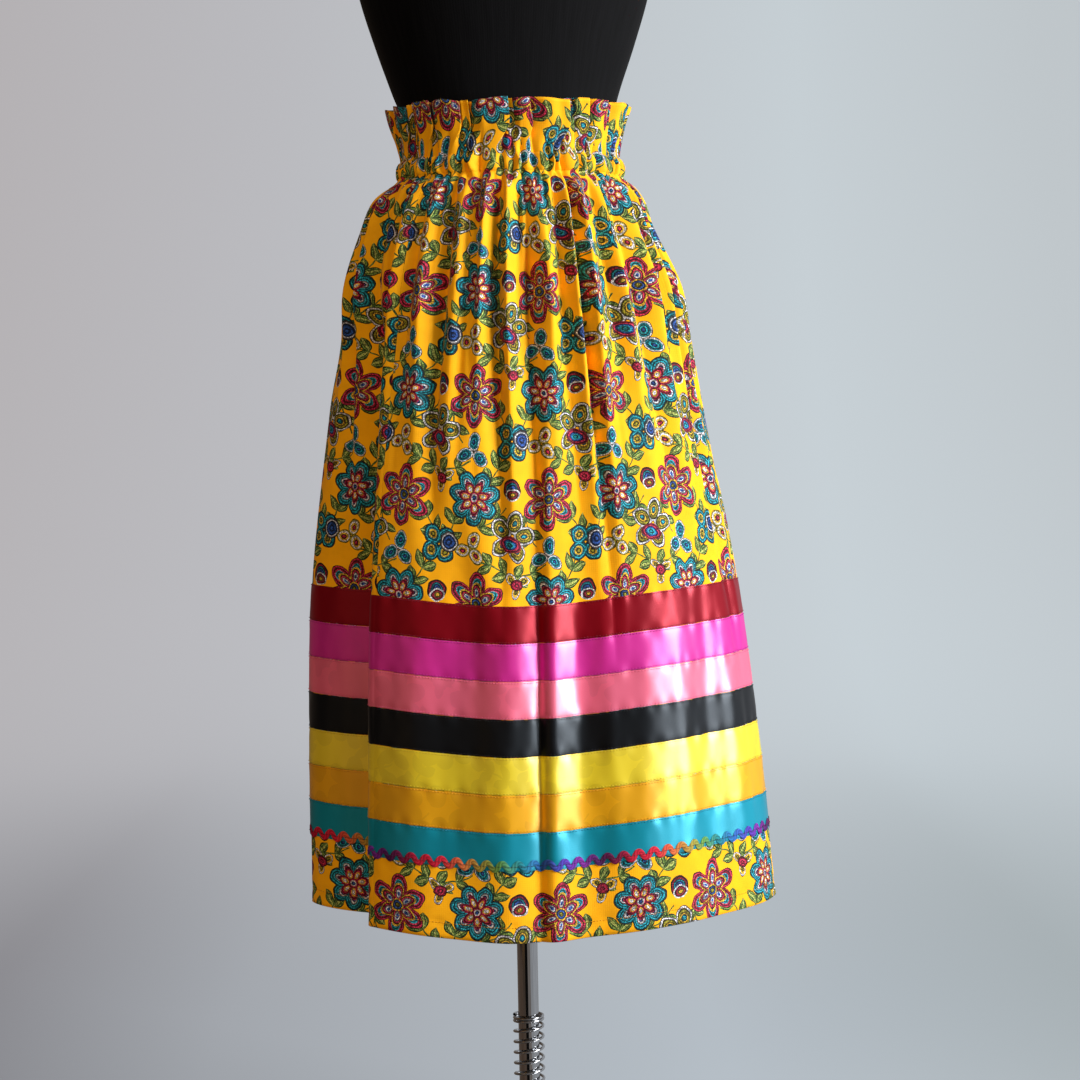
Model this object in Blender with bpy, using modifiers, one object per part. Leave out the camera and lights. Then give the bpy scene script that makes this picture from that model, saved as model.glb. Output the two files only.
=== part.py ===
"""A ribbon skirt on a limbless dress form, in metres with +Z up, its front towards -Y.

The skirt is a front and a back panel of print cotton, gathered on an elastic casing under a standing ruffle.
Seven satin ribbons and a rickrack are sewn round each panel above the hem. A polished pole in a round base
carries the form. Every cloth piece is a thin wall on one surface, which is worked out from the sizes and
tables below: an outline for each height, broad folds, and the gathers that the elastic draws in.
"""

import math
from collections import namedtuple

import bmesh
import bpy
from mathutils import Vector

COLLECTION_NAME = "ribbon_skirt"

# Cloth walls and the gaps between pieces
CLOTH_WALL = 0.0016
RIBBON_WALL = 0.0010
LAY_GAP = 0.00045
SEAM_GAP = 0.0003
MERGE_LIMIT = 0.00005

# Lengths along the cloth, from the casing's lower seam to the hem
UPPER_LENGTH = 0.447
RIBBON_WIDTH = 0.038
PRINT_BAND = 0.072
FRONT_SAG = 0.0070
FRONT_SAG_REACH_DEG = 55.0
RIBBONS = ("burgundy", "orchid", "pink", "black", "lemon", "gold", "turquoise")
GATHER_RINGS = (0.0, 0.028, 0.085, 0.185, 0.310)

# Heights of the waist
CASING_SEAM = 1.045
CASING_TOP = 1.064
RUFFLE_TOP = 1.118

# Round the cloth, angles from the front (-Y) towards the right (+X)
PANEL_COLUMNS = 44
COLUMNS = 2 * PANEL_COLUMNS
LEFT_SEAM_DEG = -46.0
OUTLINE_STEPS = 1440
OUTLINE_POWER = 2.15
PROFILE_STEP = 0.006

# Waist gathers: one for each pair of columns
CASING_GATHER = 0.0042
CASING_BULGE = 0.0012
RUFFLE_COLUMNS_PER_WAVE = 3
RUFFLE_WAVE_LOW = 0.0040
RUFFLE_WAVE_HIGH = 0.0085
RUFFLE_EDGE_RISE = 0.0025
RUFFLE_TWIST_DEG = 2.2

# Rickrack: a waved braid on the last ribbon's lower edge
RICKRACK_BAND = 0.0050
RICKRACK_SWING = 0.0036
RICKRACK_EXTRA_GAP = 0.0004

# Dress form
FORM_SIDES = 24
SEAT_GAP = 0.0004
NECK_CAP_HEIGHT = 0.024

# Stand
POLE_RADIUS = 0.011
FLANGE_RADIUS = 0.045
FLANGE_THICKNESS = 0.006
SPRING_WIRE = 0.0015
SPRING_MEAN_RADIUS = 0.0153
SPRING_PITCH = 0.0114
SPRING_TOP = 0.157
SPRING_POINTS_PER_TURN = 8
HUB_RADIUS = 0.030
HUB_TOP = 0.036
BASE_RADIUS = 0.170
BASE_EDGE = 0.006
BASE_CROWN = 0.012
TURNED_STEPS = 24

Outline = namedtuple("Outline", "height left right front back")
OUTLINES = (
    Outline(1.118, 0.133, 0.127, 0.107, 0.101),
    Outline(1.105, 0.130, 0.122, 0.103, 0.098),
    Outline(1.080, 0.122, 0.116, 0.096, 0.093),
    Outline(1.064, 0.118, 0.114, 0.093, 0.090),
    Outline(1.045, 0.121, 0.117, 0.095, 0.092),
    Outline(1.034, 0.138, 0.132, 0.106, 0.102),
    Outline(1.020, 0.152, 0.142, 0.113, 0.108),
    Outline(0.993, 0.164, 0.150, 0.121, 0.114),
    Outline(0.929, 0.186, 0.179, 0.133, 0.126),
    Outline(0.870, 0.189, 0.188, 0.141, 0.133),
    Outline(0.802, 0.200, 0.199, 0.147, 0.139),
    Outline(0.594, 0.223, 0.236, 0.162, 0.153),
    Outline(0.290, 0.228, 0.267, 0.175, 0.164),
    Outline(0.240, 0.229, 0.272, 0.177, 0.166),
)

# A broad fold hangs inward at an angle, from nothing at its top height to its whole depth at its full height
BroadFold = namedtuple("BroadFold", "angle before after depth top full")
BROAD_FOLDS = (
    BroadFold(-64, 23, 14, 0.064, 1.045, 0.580),
    BroadFold(-22, 16, 17, 0.006, 0.900, 0.500),
    BroadFold(22, 15, 17, 0.013, 0.960, 0.500),
    BroadFold(61, 13, 15, 0.007, 0.800, 0.420),
    BroadFold(97, 15, 17, 0.018, 0.960, 0.450),
    BroadFold(134, 17, 15, 0.024, 0.980, 0.480),
    BroadFold(172, 15, 18, 0.018, 0.960, 0.450),
    BroadFold(207, 16, 14, 0.030, 0.980, 0.500),
    BroadFold(243, 15, 14, 0.018, 0.960, 0.480),
)

# A gather is a pipe of cloth some columns wide, with a valley on each side that fades out down the skirt
Gather = namedtuple("Gather", "columns depth length")
FRONT_GATHERS = (
    Gather(3, 0.012, 0.29),
    Gather(3, 0.015, 0.33),
    Gather(2, 0.011, 0.20),
    Gather(3, 0.016, 0.39),
    Gather(3, 0.014, 0.27),
    Gather(2, 0.013, 0.35),
    Gather(3, 0.016, 0.41),
    Gather(3, 0.014, 0.25),
    Gather(3, 0.015, 0.37),
    Gather(2, 0.011, 0.23),
    Gather(3, 0.015, 0.43),
    Gather(3, 0.013, 0.28),
    Gather(3, 0.016, 0.36),
    Gather(2, 0.012, 0.21),
    Gather(3, 0.014, 0.39),
    Gather(3, 0.013, 0.31),
)
BACK_GATHERS = (
    Gather(3, 0.015, 0.37),
    Gather(2, 0.012, 0.23),
    Gather(3, 0.016, 0.33),
    Gather(3, 0.014, 0.41),
    Gather(3, 0.013, 0.27),
    Gather(2, 0.011, 0.33),
    Gather(3, 0.016, 0.39),
    Gather(3, 0.014, 0.25),
    Gather(2, 0.012, 0.21),
    Gather(3, 0.015, 0.40),
    Gather(3, 0.014, 0.30),
    Gather(3, 0.016, 0.36),
    Gather(2, 0.011, 0.22),
    Gather(3, 0.014, 0.32),
    Gather(3, 0.013, 0.38),
    Gather(3, 0.014, 0.28),
)
GATHER_OPENS = 0.060

# The torso's rings; two more at the casing's seams are worked out from the casing that rests on them
FormRing = namedtuple("FormRing", "height width depth across ahead")
FORM_HIPS = (
    FormRing(0.830, 0.134, 0.094, 0.000, 0.000),
    FormRing(0.846, 0.144, 0.100, 0.000, 0.000),
    FormRing(0.910, 0.149, 0.103, 0.000, 0.000),
    FormRing(0.960, 0.142, 0.099, -0.001, 0.001),
    FormRing(1.010, 0.122, 0.091, -0.002, 0.001),
)
FORM_BODICE = (
    FormRing(1.090, 0.1105, 0.0850, -0.003, 0.001),
    FormRing(1.118, 0.1145, 0.0860, -0.004, 0.001),
    FormRing(1.137, 0.1205, 0.0885, -0.005, 0.000),
    FormRing(1.185, 0.137, 0.095, -0.005, 0.000),
    FormRing(1.238, 0.153, 0.105, -0.005, 0.000),
    FormRing(1.300, 0.165, 0.116, -0.005, 0.000),
    FormRing(1.360, 0.170, 0.110, -0.005, 0.000),
    FormRing(1.415, 0.171, 0.092, -0.005, 0.000),
    FormRing(1.448, 0.150, 0.078, -0.005, 0.000),
    FormRing(1.474, 0.104, 0.066, -0.005, 0.000),
    FormRing(1.496, 0.066, 0.058, -0.005, 0.000),
    FormRing(1.530, 0.055, 0.053, -0.005, 0.000),
)

Finish = namedtuple("Finish", "colour roughness metallic")
FINISHES = {
    "print_cotton": Finish((0.93, 0.44, 0.01), 0.85, 0.0),
    "burgundy": Finish((0.33, 0.01, 0.03), 0.35, 0.0),
    "orchid": Finish((0.70, 0.06, 0.52), 0.35, 0.0),
    "pink": Finish((0.90, 0.25, 0.42), 0.35, 0.0),
    "black": Finish((0.01, 0.01, 0.012), 0.35, 0.0),
    "lemon": Finish((0.84, 0.76, 0.06), 0.35, 0.0),
    "gold": Finish((0.90, 0.42, 0.01), 0.35, 0.0),
    "turquoise": Finish((0.01, 0.38, 0.55), 0.35, 0.0),
    "rickrack": Finish((0.45, 0.04, 0.20), 0.70, 0.0),
    "black_jersey": Finish((0.008, 0.008, 0.010), 0.90, 0.0),
    "polished_chrome": Finish((0.80, 0.80, 0.82), 0.12, 1.0),
}


def clear_scene():
    """Remove whatever the new scene holds."""
    for item in list(bpy.data.objects):
        bpy.data.objects.remove(item, do_unlink=True)


def make_material(name):
    """A plain material with the colour, roughness and metallic value of one finish."""
    finish = FINISHES[name]
    material = bpy.data.materials.get(name) or bpy.data.materials.new(name)
    material.use_nodes = True
    shader = material.node_tree.nodes["Principled BSDF"]
    shader.inputs["Base Color"].default_value = (*finish.colour, 1.0)
    shader.inputs["Roughness"].default_value = finish.roughness
    shader.inputs["Metallic"].default_value = finish.metallic
    return material


def add_piece(collection, name, data, finish):
    """Put a mesh or a curve in the collection as a named piece."""
    piece = bpy.data.objects.new(name, data)
    collection.objects.link(piece)
    data.materials.append(make_material(finish))
    return piece


def smooth_step(x):
    """From 0 to 1 with level ends."""
    x = min(max(x, 0.0), 1.0)
    return x * x * (3 - 2 * x)


def table_value(rows, height, column):
    """One column of a table at a height, on a smooth curve through its rows from the top down."""
    last = len(rows) - 1
    index = 0
    while index < last - 1 and rows[index + 1].height > height:
        index += 1
    values = [getattr(row, column) for row in rows]
    slopes = []
    for at in (index, index + 1):
        low, high = max(at - 1, 0), min(at + 1, last)
        slopes.append((values[high] - values[low]) / (rows[high].height - rows[low].height))
    span = rows[index + 1].height - rows[index].height
    t = min(max((height - rows[index].height) / span, 0.0), 1.0)
    curve = (2 * t**3 - 3 * t**2 + 1) * values[index] + (3 * t**2 - 2 * t**3) * values[index + 1]
    return curve + span * ((t**3 - 2 * t**2 + t) * slopes[0] + (t**3 - t**2) * slopes[1])


def outline_radius(angle, height):
    """How far the plain outline is from the axis, from the half widths of its four quarters."""
    across, ahead = math.sin(angle), math.cos(angle)
    side = table_value(OUTLINES, height, "right" if across > 0 else "left")
    deep = table_value(OUTLINES, height, "front" if ahead > 0 else "back")
    total = abs(across / side) ** OUTLINE_POWER + abs(ahead / deep) ** OUTLINE_POWER
    return total ** (-1 / OUTLINE_POWER)


def broad_fold_depth(angle, height):
    """How far the broad folds hang inward at an angle and height."""
    depth = 0.0
    for fold in BROAD_FOLDS:
        turn = (math.degrees(angle) - fold.angle + 180) % 360 - 180
        reach = turn / (fold.after if turn > 0 else fold.before)
        if abs(reach) < 1:
            grown = smooth_step((fold.top - height) / (fold.top - fold.full))
            depth += fold.depth * grown * 0.5 * (1 + math.cos(math.pi * reach))
    return depth


def cloth_radius(angle, height):
    """The hung cloth's radius before its gathers."""
    return outline_radius(angle, height) - broad_fold_depth(angle, height)


def around(radius, angle, height):
    """A point at an angle from the front towards the right."""
    return Vector((radius * math.sin(angle), -radius * math.cos(angle), height))


def even_angles(height, count):
    """Angles that part the hung outline at a height into equal lengths, from the left seam and back to it."""
    start = math.radians(LEFT_SEAM_DEG)
    fine = [start + 2 * math.pi * k / OUTLINE_STEPS for k in range(OUTLINE_STEPS + 1)]
    points = [around(cloth_radius(a, height), a, height) for a in fine]
    length = [0.0]
    for one, two in zip(points, points[1:]):
        length.append(length[-1] + (two - one).length)
    angles, k = [], 0
    for column in range(count + 1):
        wanted = length[-1] * column / count
        while k < OUTLINE_STEPS - 1 and length[k + 1] < wanted:
            k += 1
        share = (wanted - length[k]) / (length[k + 1] - length[k])
        angles.append(fine[k] + share * (fine[k + 1] - fine[k]))
    return angles


def gather_rows():
    """For each gather: its first column, its width in columns, its depth and its length."""
    rows, column = [], 0
    for gather in FRONT_GATHERS + BACK_GATHERS:
        rows.append((column, gather.columns, gather.depth, gather.length))
        column += gather.columns
    return rows


def gather_depth(rows, column, along):
    """How far the gathers draw the cloth inward at a column, some way down from the casing."""
    column %= COLUMNS
    opened = smooth_step(along / GATHER_OPENS)
    fine = CASING_GATHER * (1 - opened) * abs(math.cos(math.pi * column / 2))
    for first, columns, depth, length in rows:
        if first <= column < first + columns:
            pipe = 1 - math.sin(math.pi * (column - first) / columns)
            faded = 0.5 * (1 + math.cos(math.pi * min(along / length, 1.0)))
            return fine + depth * pipe * faded * opened
    return fine


def profile_heights(angle, lengths):
    """The heights that lie at given lengths of cloth below the casing, at one angle."""
    heights, gone, target = [], 0.0, 0
    top = CASING_SEAM
    radius = cloth_radius(angle, top)
    while target < len(lengths):
        low = top - PROFILE_STEP
        low_radius = cloth_radius(angle, low)
        step = math.hypot(PROFILE_STEP, low_radius - radius)
        while target < len(lengths) and lengths[target] <= gone + step:
            heights.append(top - PROFILE_STEP * (lengths[target] - gone) / step)
            target += 1
        gone += step
        top, radius = low, low_radius
    return heights


def surface_normals(grid):
    """Outward normals of a closed grid of columns, each a list of points from the top down."""
    count, rings = len(grid), len(grid[0])
    normals = []
    for c in range(count):
        column = []
        for k in range(rings):
            sideways = grid[(c + 1) % count][k] - grid[c - 1][k]
            down = grid[c][min(k + 1, rings - 1)] - grid[c][max(k - 1, 0)]
            column.append(down.cross(sideways).normalized())
        normals.append(column)
    return normals


def front_sag(angle, along):
    """How much lower the middle of the front hangs."""
    turn = math.degrees(angle) / FRONT_SAG_REACH_DEG
    if abs(turn) >= 1:
        return 0.0
    return FRONT_SAG * smooth_step(along / UPPER_LENGTH) * 0.5 * (1 + math.cos(math.pi * turn))


def skirt_surface(lengths):
    """The skirt's outer surface: for each column, its points at given lengths below the casing."""
    rows = gather_rows()
    grid = []
    for column, angle in enumerate(even_angles(OUTLINES[-2].height, COLUMNS)[:-1]):
        points = []
        for along, height in zip(lengths, profile_heights(angle, lengths)):
            radius = cloth_radius(angle, height) - gather_depth(rows, column, along)
            points.append(around(radius, angle, height - front_sag(angle, along)))
        grid.append(points)
    return grid


def panel_strip(grid, normals, first, columns, rings, out):
    """Part of a grid for one panel: its points moved out, with the side edges drawn in by half a seam gap."""
    count = len(grid)
    strip = []
    for c in range(columns + 1):
        at = (first + c) % count
        beside = (first + (1 if c == 0 else columns - 1)) % count
        points = []
        for k in rings:
            point = grid[at][k]
            if c in (0, columns):
                point = point + (grid[beside][k] - point).normalized() * SEAM_GAP / 2
            points.append(point + normals[at][k] * out)
        strip.append(points)
    return strip


def sheet_mesh(name, strip):
    """An open sheet through columns of points, every cell parted along the same diagonal."""
    mesh = bpy.data.meshes.new(name)
    form = bmesh.new()
    columns = [[form.verts.new(point) for point in column] for column in strip]
    for left, right in zip(columns, columns[1:]):
        for k in range(len(left) - 1):
            form.faces.new((left[k], left[k + 1], right[k + 1]))
            form.faces.new((left[k], right[k + 1], right[k]))
    form.to_mesh(mesh)
    form.free()
    mesh.shade_smooth()
    return mesh


def add_cloth(collection, name, strip, wall, outward, finish):
    """A cloth piece: a sheet with a wall on its inner side, or on its outer side where it lies on another."""
    piece = add_piece(collection, name, sheet_mesh(name, strip), finish)
    solid = piece.modifiers.new("wall", "SOLIDIFY")
    solid.thickness = wall
    solid.offset = 1 if outward else -1
    return piece


def add_skirt(collection):
    """The two panels, and on each of them seven ribbons and the rickrack."""
    edges = [UPPER_LENGTH + RIBBON_WIDTH * k for k in range(len(RIBBONS) + 1)]
    hem = edges[-1] + PRINT_BAND
    lengths = list(GATHER_RINGS) + edges + [hem]
    first_edge = len(GATHER_RINGS)
    grid = skirt_surface(lengths)
    normals = surface_normals(grid)
    half = SEAM_GAP / 2
    for side, first in (("front", 0), ("back", PANEL_COLUMNS)):
        rings = range(len(lengths))
        strip = panel_strip(grid, normals, first, PANEL_COLUMNS, rings, 0.0)
        for column in strip:
            column[0] = column[0] + (column[1] - column[0]).normalized() * SEAM_GAP
        add_cloth(collection, f"skirt_{side}", strip, CLOTH_WALL, False, "print_cotton")
        for k, colour in enumerate(RIBBONS):
            rings = (first_edge + k, first_edge + k + 1)
            strip = panel_strip(grid, normals, first, PANEL_COLUMNS, rings, LAY_GAP)
            for column in strip:
                down = (column[1] - column[0]).normalized()
                column[0] = column[0] + down * half
                column[1] = column[1] - down * half
            add_cloth(collection, f"ribbon_{colour}_{side}", strip, RIBBON_WALL, True, colour)
        add_rickrack(collection, side, grid, normals, first, first_edge + len(RIBBONS))


def add_rickrack(collection, side, grid, normals, first, ring):
    """A zigzag braid with a wave for each column, over the last ribbon's lower edge."""
    out = LAY_GAP + RIBBON_WALL + LAY_GAP + RICKRACK_EXTRA_GAP
    strip = []
    for point in range(2 * PANEL_COLUMNS + 1):
        one = (first + point // 2) % COLUMNS
        two = (one + point % 2) % COLUMNS
        rows = []
        for k in (ring - 1, ring, ring + 1):
            middle = (grid[one][k] + grid[two][k]) / 2
            rows.append(middle + (normals[one][k] + normals[two][k]).normalized() * out)
        swing = RICKRACK_SWING * (1 if point % 2 else -1)
        column = []
        for edge in (swing - RICKRACK_BAND / 2, swing + RICKRACK_BAND / 2):
            towards = rows[2] if edge > 0 else rows[0]
            column.append(rows[1] + (towards - rows[1]).normalized() * abs(edge))
        strip.append(column)
    for end, beside in ((0, 1), (-1, -2)):
        for k in range(2):
            inward = (strip[beside][k] - strip[end][k]).normalized()
            strip[end][k] = strip[end][k] + inward * SEAM_GAP / 2
    add_cloth(collection, f"rickrack_{side}", strip, RIBBON_WALL, True, "rickrack")


def add_casing(collection):
    """The gathered casing that holds the elastic, as a front and a back piece between its two seams."""
    angles = even_angles(OUTLINES[-2].height, COLUMNS)[:-1]
    middle = (CASING_SEAM + CASING_TOP) / 2
    heights = (CASING_TOP - SEAM_GAP / 2, middle, CASING_SEAM + SEAM_GAP / 2)
    grid = []
    for column, angle in enumerate(angles):
        valley = CASING_GATHER * abs(math.cos(math.pi * column / 2))
        points = []
        for height in heights:
            swell = CASING_BULGE if height == middle else 0.0
            points.append(around(outline_radius(angle, height) - valley + swell, angle, height))
        grid.append(points)
    normals = surface_normals(grid)
    for side, first in (("front", 0), ("back", PANEL_COLUMNS)):
        strip = panel_strip(grid, normals, first, PANEL_COLUMNS, range(3), 0.0)
        add_cloth(collection, f"waist_casing_{side}", strip, CLOTH_WALL, False, "print_cotton")


def add_ruffle(collection):
    """The standing ruffle: each casing gather opens upward into a leaning wave with an uneven top edge."""
    waves = COLUMNS // 2
    per_wave = RUFFLE_COLUMNS_PER_WAVE
    low = CASING_TOP + SEAM_GAP / 2
    column_angles = even_angles(OUTLINES[-2].height, COLUMNS)
    grid = []
    for wave in range(waves):
        here, beyond = column_angles[2 * wave], column_angles[2 * wave + 2]
        uneven = math.sin(2.4 * wave * wave)
        for part in range(per_wave):
            share = part / per_wave
            points = []
            for climb in (1.0, 0.5, 0.0):
                rise = RUFFLE_EDGE_RISE * uneven * climb
                height = low + (RUFFLE_TOP - low) * climb
                twist = math.radians(RUFFLE_TWIST_DEG) * math.sin(1.7 * wave + part) * climb
                angle = here + (beyond - here) * share + twist * math.sin(math.pi * share)
                deep = RUFFLE_WAVE_LOW + (RUFFLE_WAVE_HIGH * (1 + 0.3 * uneven) - RUFFLE_WAVE_LOW) * climb
                valley = deep * (1 - math.sin(math.pi * share))
                points.append(around(outline_radius(angle, height) - valley, angle, height + rise))
            grid.append(points)
    normals = surface_normals(grid)
    half = waves // 2 * per_wave
    for side, first in (("front", 0), ("back", half)):
        strip = panel_strip(grid, normals, first, half, range(3), 0.0)
        add_cloth(collection, f"waist_ruffle_{side}", strip, CLOTH_WALL, False, "print_cotton")


def waist_seat(height):
    """The torso's ring under the casing: what the gathers' valleys and the cloth's wall leave, less a gap."""
    seat = next(row for row in OUTLINES if row.height == CASING_TOP)
    inward = CASING_GATHER + CLOTH_WALL + SEAT_GAP
    width = (seat.left + seat.right) / 2 - inward
    depth = (seat.front + seat.back) / 2 - inward
    return FormRing(height, width, depth, (seat.right - seat.left) / 2, (seat.front - seat.back) / 2)


def form_rings():
    """All of the torso's rings from its underside to its neck."""
    return FORM_HIPS + (waist_seat(CASING_SEAM), waist_seat(CASING_TOP)) + FORM_BODICE


def add_form(collection):
    """The limbless torso, a loft through its rings with a flat top and underside."""
    mesh = bpy.data.meshes.new("form_torso")
    form = bmesh.new()
    rings = []
    for row in form_rings():
        ring = []
        for k in range(FORM_SIDES):
            angle = 2 * math.pi * k / FORM_SIDES
            across, ahead = math.sin(angle), math.cos(angle)
            total = abs(across / row.width) ** OUTLINE_POWER + abs(ahead / row.depth) ** OUTLINE_POWER
            point = around(total ** (-1 / OUTLINE_POWER), angle, row.height)
            ring.append(form.verts.new(point + Vector((row.across, -row.ahead, 0))))
        rings.append(ring)
    for low, high in zip(rings, rings[1:]):
        for k in range(FORM_SIDES):
            beyond = (k + 1) % FORM_SIDES
            form.faces.new((low[k], low[beyond], high[beyond], high[k]))
    form.faces.new(rings[0][::-1])
    form.faces.new(rings[-1])
    bmesh.ops.triangulate(form, faces=[f for f in form.faces if len(f.verts) == 4])
    form.to_mesh(mesh)
    form.free()
    mesh.shade_smooth()
    mesh.set_sharp_from_angle(angle=math.radians(50))
    add_piece(collection, "form_torso", mesh, "black_jersey")


def add_turned(collection, name, profile, finish, closed=False, steps=TURNED_STEPS, place=(0, 0, 0)):
    """A turned piece from a profile of (radius, height) that runs down its outer side."""
    mesh = bpy.data.meshes.new(name)
    points = [(radius, 0, height) for radius, height in profile]
    edges = [(k, k + 1) for k in range(len(points) - 1)]
    if closed:
        edges.append((len(points) - 1, 0))
    mesh.from_pydata(points, edges, [])
    piece = add_piece(collection, name, mesh, finish)
    piece.location = place
    screw = piece.modifiers.new("turn", "SCREW")
    screw.steps = steps
    screw.render_steps = steps
    screw.use_merge_vertices = True
    screw.merge_threshold = MERGE_LIMIT
    screw.use_smooth_shade = True
    return piece


def add_neck_cap(collection):
    """A low domed cap on the neck."""
    top = FORM_BODICE[-1]
    low = top.height + SEAM_GAP
    high = low + NECK_CAP_HEIGHT
    radius = top.depth + 0.004
    profile = [(0, high)]
    for k in range(1, 5):
        turn = math.radians(90 * k / 4)
        profile.append((radius * math.sin(turn), low + 0.008 + (NECK_CAP_HEIGHT - 0.008) * math.cos(turn)))
    profile += [(radius, low), (0, low)]
    add_turned(collection, "form_neck_cap", profile, "polished_chrome", place=(top.across, 0, 0))


def add_stand(collection):
    """The base, its hub, the cushion spring, the pole and the flange under the form."""
    base = [(0, BASE_CROWN), (HUB_RADIUS + 0.006, BASE_CROWN), (BASE_RADIUS - 0.003, BASE_EDGE)]
    base += [(BASE_RADIUS, BASE_EDGE - 0.003), (BASE_RADIUS, 0), (0, 0)]
    add_turned(collection, "stand_base", base, "polished_chrome", steps=48)
    bore = POLE_RADIUS + SEAM_GAP
    foot = BASE_CROWN + SEAM_GAP
    hub = [(bore, HUB_TOP), (HUB_RADIUS * 0.75, HUB_TOP), (HUB_RADIUS * 0.9, HUB_TOP - 0.004)]
    hub += [(HUB_RADIUS, foot + 0.004), (HUB_RADIUS, foot), (bore, foot)]
    add_turned(collection, "stand_hub", hub, "polished_chrome", closed=True)
    under = FORM_HIPS[0].height - SEAM_GAP
    neck = under - FLANGE_THICKNESS
    pole = [(0, under), (FLANGE_RADIUS, under), (FLANGE_RADIUS, neck)]
    pole += [(POLE_RADIUS, neck), (POLE_RADIUS, foot), (0, foot)]
    add_turned(collection, "stand_pole", pole, "polished_chrome")
    add_spring(collection)


def add_spring(collection):
    """The open coil that stands on the hub round the pole."""
    low = HUB_TOP + SEAM_GAP + SPRING_WIRE
    turns = (SPRING_TOP - low) / SPRING_PITCH
    count = round(turns * SPRING_POINTS_PER_TURN)
    curve = bpy.data.curves.new("stand_spring", "CURVE")
    curve.dimensions = "3D"
    curve.bevel_depth = SPRING_WIRE
    curve.bevel_resolution = 2
    curve.use_fill_caps = True
    spline = curve.splines.new("POLY")
    spline.points.add(count)
    for k, point in enumerate(spline.points):
        angle = 2 * math.pi * k / SPRING_POINTS_PER_TURN
        place = around(SPRING_MEAN_RADIUS, angle, low + (SPRING_TOP - SPRING_WIRE - low) * k / count)
        point.co = (*place, 1)
    add_piece(collection, "stand_spring", curve, "polished_chrome")


def main():
    clear_scene()
    collection = bpy.data.collections.new(COLLECTION_NAME)
    bpy.context.scene.collection.children.link(collection)
    add_skirt(collection)
    add_casing(collection)
    add_ruffle(collection)
    add_form(collection)
    add_neck_cap(collection)
    add_stand(collection)


main()
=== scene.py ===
"""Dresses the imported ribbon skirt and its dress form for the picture.

Every cloth piece lies on one surface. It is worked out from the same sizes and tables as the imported
solids, and then gets the finer gathers, soft creases and puckers that the solids leave out. Lengths are
in metres.
"""

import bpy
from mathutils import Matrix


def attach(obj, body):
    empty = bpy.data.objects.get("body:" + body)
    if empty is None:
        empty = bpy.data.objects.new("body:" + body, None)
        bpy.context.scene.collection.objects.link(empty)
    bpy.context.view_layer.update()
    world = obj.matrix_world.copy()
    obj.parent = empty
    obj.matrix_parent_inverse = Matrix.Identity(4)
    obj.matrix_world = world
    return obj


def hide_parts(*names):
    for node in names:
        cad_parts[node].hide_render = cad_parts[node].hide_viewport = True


bl_info = {
    "name": "Ribbon Skirt",
    "version": (1, 0, 0),
    "blender": (4, 5, 0),
    "location": "View3D > Sidebar > Ribbon Skirt",
    "description": "Cloth, ribbons, stitching, dress form and studio for a ribbon skirt",
    "category": "Add Mesh",
}

import math
from collections import namedtuple

import bpy
import numpy as np
from mathutils import Matrix, Vector

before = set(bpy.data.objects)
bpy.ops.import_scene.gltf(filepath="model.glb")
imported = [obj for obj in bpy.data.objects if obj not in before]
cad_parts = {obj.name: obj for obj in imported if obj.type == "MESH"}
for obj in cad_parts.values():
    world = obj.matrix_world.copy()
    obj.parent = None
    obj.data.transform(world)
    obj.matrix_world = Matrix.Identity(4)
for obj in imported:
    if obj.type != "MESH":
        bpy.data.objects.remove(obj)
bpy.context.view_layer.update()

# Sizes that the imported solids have
UPPER_LENGTH = 0.447
RIBBON_WIDTH = 0.038
PRINT_BAND = 0.072
FRONT_SAG = 0.0070
FRONT_SAG_REACH_DEG = 55.0
RIBBONS = ("burgundy", "orchid", "pink", "black", "lemon", "gold", "turquoise")
CASING_SEAM = 1.045
CASING_TOP = 1.064
RUFFLE_TOP = 1.118
PANEL_COLUMNS = 44
COLUMNS = 2 * PANEL_COLUMNS
LEFT_SEAM_DEG = -46.0
OUTLINE_STEPS = 1440
OUTLINE_POWER = 2.15
CASING_GATHER = 0.0042
GATHER_OPENS = 0.036
FINE_FADES = 0.045
GATHER_REACH = 1.4
LAY_GAP = 0.00045
CLOTH_WALL = 0.0016
SEAT_GAP = 0.0004
SPRING_TOP = 0.157
HUB_TOP = 0.036

# Sizes that only the scene has
HEM = UPPER_LENGTH + RIBBON_WIDTH * len(RIBBONS) + PRINT_BAND
# The side seams lie this far towards the left fold's edge from the solids' seams, in columns
SEAM_SHIFT = -0.8
PANELS = (("front", SEAM_SHIFT), ("back", PANEL_COLUMNS + SEAM_SHIFT))
SEAM_HALF = 0.004  # columns left open on each side of a side seam
CELLS = 7  # mesh columns in each column of the tables
WAIST_CELLS = 16
CASING_SWELL = 0.0024
PINCH_DEPTH = 0.0051
SMALL_GATHERS = 82
PLEAT_FACE = 0.72  # the share of a pleat's cloth that is its flat face
NARROW_PLEAT = 1.7  # columns
HEM_ROLL = 0.0008  # cloth that goes round the hem's edge
RIBBON_RISE = 0.0005  # a ribbon's middle above its edges
RIBBON_GAP = 0.0002  # half of the gap between two ribbons' edges
RIBBON_ROWS = 12  # mesh rows across a ribbon
# The rickrack's middle, with its waves above the last ribbon's lower edge
RICKRACK_LINE = UPPER_LENGTH + RIBBON_WIDTH * len(RIBBONS) - 0.0045
RICKRACK_CELLS = 14
BRAID_FOOT, BRAID_CROWN = 0.0009, 0.0004  # its edges above the ribbon, and its middle above them
# Where the rickrack's colours start on each panel, as a length of braid
RAINBOW_STARTS = {"front": 0.174, "back": 0.142}
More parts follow.
